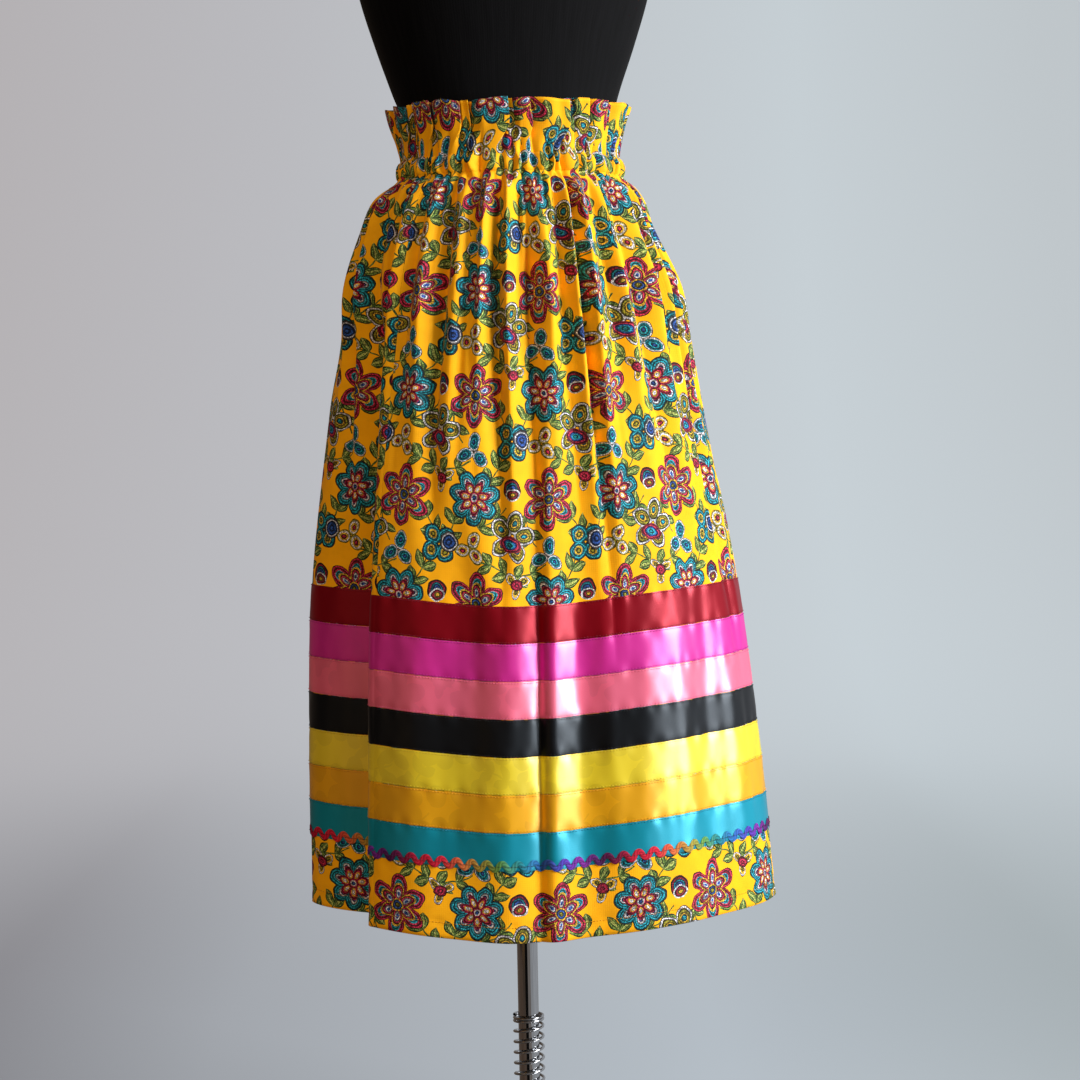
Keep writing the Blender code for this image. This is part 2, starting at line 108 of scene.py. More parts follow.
# The back's print starts this far across the repeat from the front's
BACK_PRINT = 0.043
STITCH_SPACE = 0.0007  # between two stitches of a row
RIBBON_SEAM = 0.0016  # a ribbon's rows of stitches from its edges
CASING_SEAM_ROW = 0.0012  # the casing's rows of stitches from its edges
FORM_GIRTH = 0.72  # width of the form's jersey laid flat
# The table of heights goes down to here, in steps of height and of length along the cloth
BELOW_HEM = 0.225
HEIGHT_STEP = 0.003
LENGTH_STEP = 0.002
LENGTHS = 401


def table(fields, *rows):
    """A table whose rows have named fields."""
    row_kind = namedtuple("Row", fields)
    return tuple(row_kind(*row) for row in rows)


OUTLINES = table(
    "height left right front back",
    (1.118, 0.133, 0.127, 0.107, 0.101), (1.105, 0.130, 0.122, 0.103, 0.098),
    (1.080, 0.122, 0.116, 0.096, 0.093), (1.064, 0.118, 0.114, 0.093, 0.090),
    (1.045, 0.121, 0.117, 0.095, 0.092), (1.034, 0.138, 0.132, 0.106, 0.102),
    (1.020, 0.152, 0.142, 0.113, 0.108), (0.993, 0.164, 0.150, 0.121, 0.114),
    (0.929, 0.186, 0.179, 0.133, 0.126), (0.870, 0.189, 0.188, 0.141, 0.133),
    (0.802, 0.200, 0.199, 0.147, 0.139), (0.594, 0.223, 0.236, 0.162, 0.153),
    (0.290, 0.228, 0.267, 0.175, 0.164), (0.240, 0.229, 0.272, 0.177, 0.166),
)
EVEN_HEIGHT = OUTLINES[-2].height

BROAD_FOLDS = table(
    "angle before after depth top full",
    (-64, 23, 14, 0.064, 1.045, 0.580), (-22, 16, 17, 0.006, 0.900, 0.500), (22, 15, 17, 0.013, 0.960, 0.500),
    (61, 13, 15, 0.007, 0.800, 0.420), (97, 15, 17, 0.018, 0.960, 0.450), (134, 17, 15, 0.024, 0.980, 0.480),
    (172, 15, 18, 0.018, 0.960, 0.450), (207, 16, 14, 0.030, 0.980, 0.500),
    (243, 15, 14, 0.018, 0.960, 0.480),
)

# A gather is a pipe of cloth some columns wide, with a valley on each side that fades out down the skirt
GATHERS = table(
    "columns depth length",
    (3, 0.012, 0.29), (3, 0.015, 0.33), (2, 0.011, 0.20), (3, 0.016, 0.39), (3, 0.014, 0.27),
    (2, 0.013, 0.35), (3, 0.016, 0.41), (3, 0.014, 0.25), (3, 0.015, 0.37), (2, 0.011, 0.23),
    (3, 0.015, 0.43), (3, 0.013, 0.28), (3, 0.016, 0.36), (2, 0.012, 0.21), (3, 0.014, 0.39),
    (3, 0.013, 0.31), (3, 0.015, 0.37), (2, 0.012, 0.23), (3, 0.016, 0.33), (3, 0.014, 0.41),
    (3, 0.013, 0.27), (2, 0.011, 0.33), (3, 0.016, 0.39), (3, 0.014, 0.25), (2, 0.012, 0.21),
    (3, 0.015, 0.40), (3, 0.014, 0.30), (3, 0.016, 0.36), (2, 0.011, 0.22), (3, 0.014, 0.32),
    (3, 0.013, 0.38), (3, 0.014, 0.28),
)

# The dress form's rings; two more under the casing are worked out from the casing that rests on them
FORM_RING = "height width depth across ahead"
FORM_HIPS = table(
    FORM_RING,
    (0.830, 0.134, 0.094, 0.000, 0.000), (0.846, 0.144, 0.100, 0.000, 0.000),
    (0.910, 0.149, 0.103, 0.000, 0.000), (0.960, 0.142, 0.099, -0.001, 0.001),
    (1.010, 0.122, 0.091, -0.002, 0.001),
)
FORM_BODICE = table(
    FORM_RING,
    (1.090, 0.1105, 0.0850, -0.003, 0.001), (1.118, 0.1145, 0.0860, -0.004, 0.001),
    (1.137, 0.1205, 0.0885, -0.005, 0.000), (1.185, 0.137, 0.095, -0.005, 0.000),
    (1.238, 0.153, 0.105, -0.005, 0.000), (1.300, 0.165, 0.116, -0.005, 0.000),
    (1.360, 0.170, 0.110, -0.005, 0.000), (1.415, 0.171, 0.092, -0.005, 0.000),
    (1.448, 0.150, 0.078, -0.005, 0.000), (1.474, 0.104, 0.066, -0.005, 0.000),
    (1.496, 0.066, 0.058, -0.005, 0.000), (1.530, 0.055, 0.053, -0.005, 0.000),
)

# Soft creases in the hung cloth, in columns round the skirt and metres down it. A depth below 0 is a ridge,
# and lean is how many columns a crease moves over its length.
CREASES = table(
    "column along wide long depth lean",
    (6.0, 0.50, 1.0, 0.20, 0.0012, 0.6), (5.8, 0.36, 1.1, 0.24, -0.0026, 4.6),
    (9.2, 0.62, 0.8, 0.16, 0.0009, -0.5), (12.6, 0.55, 0.9, 0.22, -0.0012, 0.4),
    (15.5, 0.60, 0.7, 0.20, -0.0016, 0.2), (17.2, 0.52, 0.9, 0.24, 0.0020, -0.4),
    (20.8, 0.58, 0.8, 0.20, -0.0012, 0.5), (23.4, 0.50, 0.7, 0.18, 0.0013, -0.3),
    (25.6, 0.60, 0.6, 0.17, -0.0014, 0.3), (27.3, 0.55, 0.6, 0.21, 0.0016, 0.4),
    (29.0, 0.63, 0.5, 0.14, -0.0012, -0.3), (30.6, 0.57, 0.6, 0.18, 0.0014, 0.5),
    (33.5, 0.60, 0.8, 0.20, 0.0012, -0.6), (37.8, 0.52, 0.9, 0.24, -0.0014, 0.4),
    (41.0, 0.62, 0.7, 0.15, 0.0012, 0.2), (47.5, 0.56, 0.9, 0.20, 0.0014, -0.5),
    (52.3, 0.62, 0.8, 0.18, -0.0012, 0.4), (56.0, 0.54, 1.0, 0.24, 0.0016, 0.5),
    (60.4, 0.60, 0.7, 0.17, -0.0013, -0.3), (64.8, 0.55, 0.9, 0.22, 0.0015, 0.6),
    (69.1, 0.63, 0.6, 0.15, 0.0011, -0.4), (73.5, 0.56, 0.8, 0.21, -0.0015, 0.3),
    (78.2, 0.60, 0.9, 0.19, 0.0013, -0.5), (83.4, 0.54, 0.8, 0.20, 0.0014, 0.4),
)

# Crisp valleys that run on down the cloth from a gather: from a start to an end below the casing, with a
# wall before the line and one after it, in columns
FOLD_LINES = table(
    "column start end depth before after lean",
    (2.6, 0.04, 0.42, 0.0040, 1.0, 1.6, 0.3), (5.2, 0.03, 0.36, 0.0036, 0.9, 1.4, -0.3),
    (11.2, 0.05, 1.40, 0.0120, 2.2, 0.9, -0.9), (14.4, 0.03, 0.34, 0.0045, 1.0, 1.5, 0.2),
    (18.4, 0.04, 0.46, 0.0040, 1.2, 2.0, 0.5), (24.6, 0.04, 0.52, 0.0035, 1.2, 2.2, 0.4),
    (33.0, 0.04, 0.60, 0.0040, 1.4, 2.4, -0.4), (39.5, 0.05, 0.44, 0.0045, 1.2, 1.8, 0.5),
    (50.2, 0.05, 0.80, 0.0045, 1.6, 3.2, 0.6), (58.7, 0.04, 0.40, 0.0040, 1.2, 1.6, -0.3),
    (66.4, 0.04, 1.00, 0.0050, 1.6, 3.6, 0.4), (75.1, 0.05, 0.50, 0.0040, 1.2, 2.0, -0.5),
    (84.6, 0.04, 0.38, 0.0035, 1.0, 1.6, 0.3),
)

# Pleats of the standing ruffle: width in columns, depth at the top edge, the share of its width by which its
# edge lies over the next pleat, and how far the top leans in columns
PLEATS = table(
    "columns depth over lean",
    (3.4, 0.0105, 0.18, 0.4), (1.3, 0.0090, 0.36, 0.2), (3.9, 0.0110, 0.22, -0.3), (1.1, 0.0085, 0.45, -0.5),
    (1.9, 0.0100, 0.34, -0.9), (4.3, 0.0115, 0.20, -1.3), (1.2, 0.0090, 0.45, -1.6),
    (1.8, 0.0100, 0.36, -1.8), (2.6, 0.0110, 0.30, -1.8), (1.2, 0.0095, 0.42, -1.6),
    (3.6, 0.0110, 0.20, -1.0), (1.3, 0.0085, 0.38, -0.2), (3.2, 0.0105, 0.22, 0.4), (1.5, 0.0095, 0.36, 0.7),
    (2.8, 0.0100, 0.24, 0.7), (1.2, 0.0085, 0.40, 0.5), (3.7, 0.0105, 0.20, 0.3),
)


def linear_colour(code):
    """An sRGB hex colour as linear red, green, blue and alpha."""
    parts = [int(code[k : k + 2], 16) / 255 for k in (1, 3, 5)]
    linear = [c / 12.92 if c <= 0.04045 else ((c + 0.055) / 1.055) ** 2.4 for c in parts]
    return (*linear, 1.0)


def colour_property(name, code, description):
    """A colour setting with an sRGB hex default."""
    colour = linear_colour(code)[:3]
    return bpy.props.FloatVectorProperty(
        name=name, description=description, default=colour, size=3, min=0, max=1, subtype="COLOR"
    )


def length_property(name, length, description):
    """A length setting with its default in metres."""
    return bpy.props.FloatProperty(name=name, description=description, default=length, unit="LENGTH")


class RibbonSkirtCloth(bpy.types.PropertyGroup):
    """Sizes and colours of the print cotton."""

    pinches: bpy.props.IntProperty(
        name="Casing pinches", description="Small gathers that the elastic draws", default=58, min=24
    )
    hem_turn: length_property("Hem turn-up", 0.015, "Height of the hem that is turned up inside")
    ground: colour_property("Ground", "#FFB400", "Yellow ground of the print cotton")
    leaf: colour_property("Stems", "#5F7A36", "Green of the print's stems")
    stitch_length: length_property("Stitch", 0.0026, "Length of one stitch")
    thread: length_property("Thread", 0.0005, "Thickness of the sewing thread")


class RibbonSkirtRibbons(bpy.types.PropertyGroup):
    """Colours of the satin ribbons and the pucker along their seams."""

    burgundy: colour_property("Burgundy", "#920016", "First ribbon from the top")
    orchid: colour_property("Orchid", "#E1209E", "Second ribbon")
    pink: colour_property("Pink", "#FF6A8D", "Third ribbon")
    black: colour_property("Black", "#08080A", "Fourth ribbon")
    lemon: colour_property("Lemon", "#FCE21C", "Fifth ribbon")
    gold: colour_property("Gold", "#FFBA00", "Sixth ribbon")
    turquoise: colour_property("Turquoise", "#0892AA", "Seventh ribbon")
    pucker: length_property("Pucker", 0.0006, "How far a ribbon rises between stitches at its edges")
    rickrack_band: length_property("Rickrack band", 0.0056, "Width of the rickrack's braid")
    rickrack_swing: length_property("Rickrack swing", 0.0036, "How far a wave goes each way")
    rainbow_length: length_property("Rainbow", 0.225, "Length over which the rickrack's colours repeat")


class RibbonSkirtStand(bpy.types.PropertyGroup):
    """Sizes of the coil spring on the stand's pole."""

    spring_radius: length_property("Coil radius", 0.0153, "Middle of the wire from the pole's axis")
    spring_wire: length_property("Wire radius", 0.0015, "Half the thickness of the spring's wire")
    spring_pitch: length_property("Pitch", 0.0114, "Rise of one open turn")


class RibbonSkirtStudio(bpy.types.PropertyGroup):
    """The camera's place and the studio's light."""

    distance: length_property("Distance", 2.80, "Camera from the pole's axis")
    eye_height: length_property("Height", 0.743, "Camera above the floor")
    lens: bpy.props.FloatProperty(name="Lens", description="Focal length on a 36 mm sensor", default=87.67)
    roll: bpy.props.FloatProperty(
        name="Roll", description="Turn about the camera's view", default=math.radians(1.1), subtype="ANGLE"
    )
    wall: colour_property("Backdrop", "#F4F6F8", "Pale grey paper of the backdrop")
    window: bpy.props.FloatProperty(
        name="Window", description="Strength of the large light at the right", default=160.0, subtype="POWER"
    )
    sky: bpy.props.FloatProperty(name="Room", description="Strength of the room's even light", default=0.55)


SETTINGS = {
    "ribbon_skirt_cloth": RibbonSkirtCloth,
    "ribbon_skirt_ribbons": RibbonSkirtRibbons,
    "ribbon_skirt_stand": RibbonSkirtStand,
    "ribbon_skirt_studio": RibbonSkirtStudio,
}


def smooth_step(x):
    """From 0 to 1 with level ends."""
    x = np.clip(x, 0.0, 1.0)
    return x * x * (3 - 2 * x)


def bell(x):
    """From 1 at 0 down to 0 at 1 either way, with level ends."""
    return 0.5 * (1 + np.cos(np.pi * np.clip(x, -1, 1)))


def beside(column, centre, whole=COLUMNS):
    """How far a column lies after a centre, the shorter way round."""
    return (column - centre + whole / 2) % whole - whole / 2


def ripple(column, times, start=0.0):
    """A sine wave that goes a whole number of times round the skirt."""
    return np.sin(2 * np.pi * times * column / COLUMNS + start)


def table_curve(rows, heights, column):
    """One column of a table at many heights, on a smooth curve through its rows from the top down."""
    known = np.array([row.height for row in rows])
    values = np.array([getattr(row, column) for row in rows])
    last = len(rows) - 1
    low, high = np.maximum(np.arange(last + 1) - 1, 0), np.minimum(np.arange(last + 1) + 1, last)
    slopes = (values[high] - values[low]) / (known[high] - known[low])
    index = np.minimum(np.searchsorted(-known[1:], -np.asarray(heights), side="left"), last - 1)
    span = known[index + 1] - known[index]
    t = np.clip((heights - known[index]) / span, 0.0, 1.0)
    curve = (2 * t**3 - 3 * t**2 + 1) * values[index] + (3 * t**2 - 2 * t**3) * values[index + 1]
    return curve + span * ((t**3 - 2 * t**2 + t) * slopes[index] + (t**3 - t**2) * slopes[index + 1])


def superellipse(angle, side, deep):
    """The radius of a squarish ellipse with these half widths."""
    total = np.abs(np.sin(angle) / side) ** OUTLINE_POWER + np.abs(np.cos(angle) / deep) ** OUTLINE_POWER
    return total ** (-1 / OUTLINE_POWER)


def outline_radius(angle, height):
    """How far the plain outline is from the axis, from the half widths of its four quarters."""
    left, right, front, back = (table_curve(OUTLINES, height, name) for name in OUTLINES[0]._fields[1:])
    side = np.where(np.sin(angle) > 0, right, left)
    deep = np.where(np.cos(angle) > 0, front, back)
    return superellipse(angle, side, deep)


def broad_fold_depth(angle, height):
    """How far the broad folds hang inward."""
    depth = np.zeros(np.broadcast(angle, height).shape)
    for fold in BROAD_FOLDS:
        turn = (np.degrees(angle) - fold.angle + 180) % 360 - 180
        grown = smooth_step((fold.top - height) / (fold.top - fold.full))
        depth = depth + fold.depth * grown * bell(turn / np.where(turn > 0, fold.after, fold.before))
    return depth


def cloth_radius(angle, height):
    """The hung cloth's radius before its gathers."""
    return outline_radius(angle, height) - broad_fold_depth(angle, height)


def around(radius, angle, height):
    """Points at an angle from the front towards the right."""
    radius, angle, height = np.broadcast_arrays(radius, angle, height)
    return np.stack([radius * np.sin(angle), -radius * np.cos(angle), height], axis=-1)


def even_angles():
    """Fine angles from the left seam and back to it, and each one's share of the hem's length in columns."""
    start = math.radians(LEFT_SEAM_DEG)
    fine = start + 2 * np.pi * np.arange(OUTLINE_STEPS + 1) / OUTLINE_STEPS
    points = around(cloth_radius(fine, EVEN_HEIGHT), fine, EVEN_HEIGHT)
    gone = np.concatenate([[0.0], np.cumsum(np.linalg.norm(np.diff(points, axis=0), axis=1))])
    return fine, COLUMNS * gone / gone[-1], gone[-1]


FINE_ANGLES, FINE_COLUMNS, HEM_LENGTH = even_angles()
COLUMN_WIDTH = HEM_LENGTH / COLUMNS


def column_angle(column):
    """The angle of a column, which may be a part of one or lie past the last."""
    turns = np.floor(np.asarray(column) / COLUMNS)
    return np.interp(column - COLUMNS * turns, FINE_COLUMNS, FINE_ANGLES) + 2 * np.pi * turns


def height_table():
    """For columns a quarter apart, the heights at even lengths of cloth below the casing."""
    columns = np.arange(-4, 4 * COLUMNS + 5) / 4
    angle = column_angle(columns)[:, None]
    heights = np.arange(CASING_SEAM, BELOW_HEM, -HEIGHT_STEP)[None, :]
    radius = cloth_radius(angle, heights)
    steps = np.hypot(np.diff(radius, axis=1), np.diff(heights, axis=1))
    gone = np.concatenate([np.zeros((len(columns), 1)), np.cumsum(steps, axis=1)], axis=1)
    lengths = np.arange(0, LENGTHS) * LENGTH_STEP
    return np.array([np.interp(lengths, one, heights[0]) for one in gone])


HEIGHTS = height_table()


def hung_height(column, along):
    """The height of the cloth at columns and lengths below the casing."""
    x = np.clip((np.asarray(column) + 1) * 4, 0, HEIGHTS.shape[0] - 1.001)
    y = np.clip(np.asarray(along) / LENGTH_STEP, 0, HEIGHTS.shape[1] - 1.001)
    x, y = np.broadcast_arrays(x, y)
    i, j = x.astype(int), y.astype(int)
    a, b = x - i, y - j
    low = HEIGHTS[i, j] * (1 - b) + HEIGHTS[i, j + 1] * b
    high = HEIGHTS[i + 1, j] * (1 - b) + HEIGHTS[i + 1, j + 1] * b
    return low * (1 - a) + high * a


def gather_depth(column, along):
    """How far the gathers draw the cloth inward, some way down from the casing."""
    firsts = np.concatenate([[0], np.cumsum([g.columns for g in GATHERS])])
    depths = np.array([g.depth for g in GATHERS] + [GATHERS[0].depth])
    lengths = np.array([g.length for g in GATHERS] + [GATHERS[0].length])
    wander = 0.22 * np.sin(9.0 * along + 1.3 * ripple(column, 13)) * smooth_step(along / 0.2)
    place = (column + wander) % COLUMNS
    index = np.clip(np.searchsorted(firsts, place, side="right") - 1, 0, len(GATHERS) - 1)
    share = (place - firsts[index]) / (firsts[index + 1] - firsts[index])
    faded = bell(along / lengths[index] / GATHER_REACH)
    beyond = bell(along / lengths[index + 1] / GATHER_REACH)
    blend = smooth_step(share)
    deep = depths[index] * faded * (1 - blend) + depths[index + 1] * beyond * blend
    opened = smooth_step(along / GATHER_OPENS)
    pinched = seam_gather(column) * (1 - smooth_step(along / FINE_FADES))
    # A second, shorter valley splits some pipes
    split = 0.62 + 0.1 * np.sin(2.4 * index)
    wide = np.where(share < split, split, 1 - split) * 0.6
    second = np.clip(1 - np.abs(share - split) / wide, 0, 1) ** 1.3
    second = second * depths[index] * np.maximum(0.35 + 0.7 * np.sin(1.9 * index + 1), 0)
    reach = lengths[index] * (0.86 + 0.3 * np.sin(1.3 * index))
    second = second * bell(along / reach)
    # A pipe has two flat faces that meet in a tight crest. Its valleys deepen where there is room for it.
    crest = 0.42 + 0.16 * np.sin(1.7 * index + 0.4)
    slope = np.where(share < crest, 1 - share / crest, (share - crest) / (1 - crest))
    deepened = 1.05 + 0.32 * smooth_step((along - 0.02) / 0.07) + 0.45 * smooth_step((along - 0.06) / 0.1)
    main = deepened * deep * (np.sqrt(slope**2 + 0.02) - 0.141) / 0.869
    # No valley reaches the form's hip
    room = 0.0188 + 0.0137 * smooth_step((along - 0.09) / 0.08)
    return np.minimum(pinched + small_gathers(column, along) + (main + second) * opened, room)


def small_gathers(column, along):
    """Narrow gathers between the main ones, which run out some fingers' width below the casing."""
    place = SMALL_GATHERS * column / COLUMNS
    place = place + 0.35 * ripple(column, 12) + 0.22 * ripple(column, 29, 9 * along)
    number = np.round(place) % SMALL_GATHERS
    reach = 0.065 + 0.035 * np.sin(2.6 * number)
    faded = smooth_step(along / 0.008) * (1 - smooth_step(along / reach))
    deep = 0.0060 + 0.0024 * np.sin(1.7 * number)
    return deep * faded * (1 - np.abs(np.sin(np.pi * place)) ** 0.55)


def casing_gather(column):
    """The elastic's small pinches, uneven in depth, with narrow valleys between round crests."""
    pinches = bpy.context.scene.ribbon_skirt_cloth.pinches
    place = column * pinches / COLUMNS + 0.30 * ripple(column, 7) + 0.24 * ripple(column, 17, 1.0)
    crest = np.abs(np.sin(np.pi * place))
    deep = PINCH_DEPTH * (0.8 + 0.2 * np.sin(1.9 * (np.round(place) % pinches)))
    proud = 0.0026 * (1 + 0.7 * np.sin(2.3 * (np.floor(place) % pinches) + 0.7))
    return deep * (1 - crest**0.65) - proud * crest


def seam_gather(column):
    """The casing's pinches where a row of stitches presses them flat."""
    return 0.0016 + 0.6 * casing_gather(column)


def crease_depth(column, along):
    """The soft creases of the hung cloth."""
    depth = np.zeros(np.broadcast(column, along).shape)
    for crease in CREASES:
        down = (along - crease.along) / crease.long
        off = beside(column, crease.column + crease.lean * down)
        depth = depth + crease.depth * np.exp(-((off / crease.wide) ** 2) - (1.6 * down) ** 2)
    return depth


def fold_line_depth(column, along):
    """The crisp valleys that run on from some gathers."""
    depth = np.zeros(np.broadcast(column, along).shape)
    for line in FOLD_LINES:
        off = beside(column - line.column, line.lean * along)
        near = np.clip(1 - np.abs(off) / np.where(off > 0, line.after, line.before), 0, 1) ** 1.7
        begun = smooth_step((along - line.start) / 0.08)
        ended = smooth_step((line.end - along) / 0.7 / (line.end - line.start))
        depth = depth + line.depth * near * (begun * ended)
    return depth


def ribbon_pucker(column, along):
    """Small dents along the ribbons' seams, from 15 to 40 mm apart and none alike."""
    pucker = bpy.context.scene.ribbon_skirt_ribbons.pucker
    row = (along - UPPER_LENGTH) / RIBBON_WIDTH
    seam = np.round(row)
    near = np.exp(-(((row - seam) / 0.2) ** 2))
    inside = smooth_step((row + 0.5) / 0.5) * smooth_step((len(RIBBONS) + 0.5 - row) / 0.5)
    wave = 0.7 * ripple(column, 32, 2.7 * seam + 1.7 * ripple(column, 9, seam))
    wave = wave + 0.6 * ripple(column, 67, 2.1 * ripple(column, 5, 2 * seam) - 1.9 * seam)
    broad = ripple(column, 15, 0.6 * row + 1.2 * ripple(column, 6))
    return pucker * inside * (near * wave + broad * 0.55)


def hem_pucker(column, along):
    """Slight ripples below the hem's stitch line."""
    turn = bpy.context.scene.ribbon_skirt_cloth.hem_turn
    near = np.exp(-(((along - HEM + turn) / 0.004) ** 2))
    return near * (0.0009 + 0.0005 * ripple(column, 74, 1.5 * ripple(column, 10)))


def seam_ditch(column):
    """The shallow ditch of the two side seams."""
    return 0.0005 * np.exp(-((beside(column, SEAM_SHIFT, PANEL_COLUMNS) / 0.22) ** 2))


def cloth_points(column, along):
    """The skirt's outer surface at columns and lengths below the casing."""
    column, along = np.broadcast_arrays(np.asarray(column, float), np.asarray(along, float))
    angle = column_angle(column)
    height = hung_height(column, along)
    inward = gather_depth(column, along) + crease_depth(column, along) + ribbon_pucker(column, along)
    inward = inward + fold_line_depth(column, along) + hem_pucker(column, along)
    inward = inward + seam_ditch(column) * smooth_step(along / 0.03)
    turn = np.degrees((angle + np.pi) % (2 * np.pi) - np.pi) / FRONT_SAG_REACH_DEG
    sag = FRONT_SAG * smooth_step(along / UPPER_LENGTH) * bell(turn)
    return around(cloth_radius(angle, height) - inward, angle, height - sag)


def unit(vectors):
    """The same vectors, each 1 long."""
    return vectors / np.maximum(np.linalg.norm(vectors, axis=-1, keepdims=True), 1e-12)


def surface_normals(points):
    """Outward normals of a grid of points, columns first and running down."""
    return unit(np.cross(np.gradient(points, axis=1), np.gradient(points, axis=0)))


def cloth_normals(column, along):
    """Outward normals at scattered columns and lengths."""
    sideways = cloth_points(column + 0.06, along) - cloth_points(column - 0.06, along)
    down = cloth_points(column, along + 0.001) - cloth_points(column, along - 0.001)
    return unit(np.cross(down, sideways))


def grid_mesh(name, points, flat, closed=False):
    """A smooth mesh over a grid of points, with its flat cloth places in metres as the UV map."""
    count, rings = points.shape[:2]
    number = np.arange(count * rings).reshape(count, rings)
    if closed:
        number = np.concatenate([number, number[:1]])
    corners = number[:-1, :-1], number[:-1, 1:], number[1:, 1:], number[1:, :-1]
    mesh = bpy.data.meshes.new(name)
    mesh.from_pydata(points.reshape(-1, 3).tolist(), [], np.stack(corners, axis=-1).reshape(-1, 4).tolist())
    layer = mesh.uv_layers.new(name="cloth")
    corner = np.empty(len(mesh.loops), dtype=np.int32)
    mesh.loops.foreach_get("vertex_index", corner)
    layer.data.foreach_set("uv", flat.reshape(-1, 2)[corner].astype(np.float32).ravel())
    mesh.shade_smooth()
    return mesh


def add_object(name, data):
    """Put an object in the scene."""
    item = bpy.data.objects.new(name, data)
    bpy.context.scene.collection.objects.link(item)
    return item


def add_piece(data, material, slot, *nodes):
    """Put a piece in the scene on the fixed body, with its material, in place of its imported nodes."""
    piece = add_object(data.name, data)
    data.materials.append(material)
    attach(piece, "root")
    if nodes:
        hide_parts(*nodes)
    return piece


def fill_inputs(node, inputs):
    """Link a node's inputs to other nodes' outputs, or set them."""
    for socket, value in inputs.items():
        if isinstance(value, bpy.types.NodeSocket):
            node.id_data.links.new(value, node.inputs[socket])
        else:
            node.inputs[socket].default_value = value


def add_node(tree, kind, inputs=None, out=0, **settings):
    """Add a node with its settings, fill or link its inputs, and give one of its outputs."""
    node = tree.nodes.new(kind)
    for name, value in settings.items():
        setattr(node, name, value)
    fill_inputs(node, inputs or {})
    return node.outputs[out]


MATH = "ShaderNodeMath"
VECTOR = "ShaderNodeVectorMath"
GROUP = "ShaderNodeGroup"
RAMP = "ShaderNodeValToRGB"
MIX = "ShaderNodeMix"


def fill_ramp(output, stops, banded=True):
    """Give a colour ramp its stops: a place, a hex colour and, where it has no alpha, the word clear."""
    ramp = output.node.color_ramp
    ramp.interpolation = "CONSTANT" if banded else "LINEAR"
    while len(ramp.elements) < len(stops):
        ramp.elements.new(0.5)
    for element, (place, code, *clear) in zip(ramp.elements, stops):
        element.position = place
        element.color = (*linear_colour(code)[:3], 0.0 if clear else 1.0)
    return output


def new_group(name, inputs, outputs):
    """A node group with its sockets, and its input and output nodes."""
    tree = bpy.data.node_groups.new(name, "ShaderNodeTree")
    for way, sockets in (("INPUT", inputs), ("OUTPUT", outputs)):
        for label, kind in sockets.items():
            tree.interface.new_socket(label, in_out=way, socket_type=f"NodeSocket{kind}")
    return tree, tree.nodes.new("NodeGroupInput"), tree.nodes.new("NodeGroupOutput")


# The print's repeat in millimetres: rows this far apart, each moved on by half of the width
REPEAT_WIDE = 170.0
REPEAT_HIGH = 104.0


def repeat_place_group():
    """Takes a place on the cloth in millimetres to one motif's own axes, in the nearest half-drop repeat."""
    tree, given, result = new_group(
        "half-drop repeat", {"Cloth": "Vector", "Centre": "Vector", "Turn": "Float"}, {"Place": "Vector"}
    )
    moved = add_node(tree, VECTOR, {0: given.outputs[0], 1: given.outputs[1]}, operation="SUBTRACT")
    parts = add_node(tree, "ShaderNodeSeparateXYZ", {0: moved}).node
    row = add_node(tree, MATH, {0: parts.outputs[1], 1: REPEAT_HIGH}, operation="DIVIDE")
    row = add_node(tree, MATH, {0: row}, operation="ROUND")
    shift = add_node(tree, VECTOR, {0: (REPEAT_WIDE / 2, REPEAT_HIGH, 0), "Scale": row}, operation="SCALE")
    moved = add_node(tree, VECTOR, {0: moved, 1: shift}, operation="SUBTRACT")
    half = REPEAT_WIDE / 2
    moved = add_node(tree, VECTOR, {0: moved, 1: (half, 500, 1), 2: (-half, -500, -1)}, operation="WRAP")
    turned = add_node(tree, "ShaderNodeVectorRotate", {"Vector": moved, "Angle": given.outputs[2]})
    tree.links.new(turned, result.inputs[0])
    return tree


def petal_group():
    """How far out a place is in the nearest of some petals round a centre: 0 in its middle, 1 at its edge."""
    tree, given, result = new_group(
        "petals",
        {"Place": "Vector", "Half turn": "Float", "Reach": "Float", "Long": "Float", "Wide": "Float"},
        {"Edge": "Float"},
    )
    parts = add_node(tree, "ShaderNodeSeparateXYZ", {0: given.outputs[0]}).node
    turn = add_node(tree, MATH, {0: parts.outputs[1], 1: parts.outputs[0]}, operation="ARCTAN2")
    far = add_node(tree, VECTOR, {0: given.outputs[0]}, operation="LENGTH", out=1)
    back = add_node(tree, MATH, {0: given.outputs[1], 1: -1.0}, operation="MULTIPLY")
    turn = add_node(tree, MATH, {0: turn, 1: given.outputs[1], 2: back}, operation="WRAP")
    ahead = add_node(tree, MATH, {0: turn}, operation="COSINE")
    aside = add_node(tree, MATH, {0: turn}, operation="SINE")
    ahead = add_node(tree, MATH, {0: ahead, 1: far}, operation="MULTIPLY")
    aside = add_node(tree, MATH, {0: aside, 1: far}, operation="MULTIPLY")
    ahead = add_node(tree, MATH, {0: ahead, 1: given.outputs[2]}, operation="SUBTRACT")
    ahead = add_node(tree, MATH, {0: ahead, 1: given.outputs[3]}, operation="DIVIDE")
    aside = add_node(tree, MATH, {0: aside, 1: given.outputs[4]}, operation="DIVIDE")
    both = add_node(tree, "ShaderNodeCombineXYZ", {0: ahead, 1: aside})
    tree.links.new(add_node(tree, VECTOR, {0: both}, operation="LENGTH", out=1), result.inputs[0])
    return tree


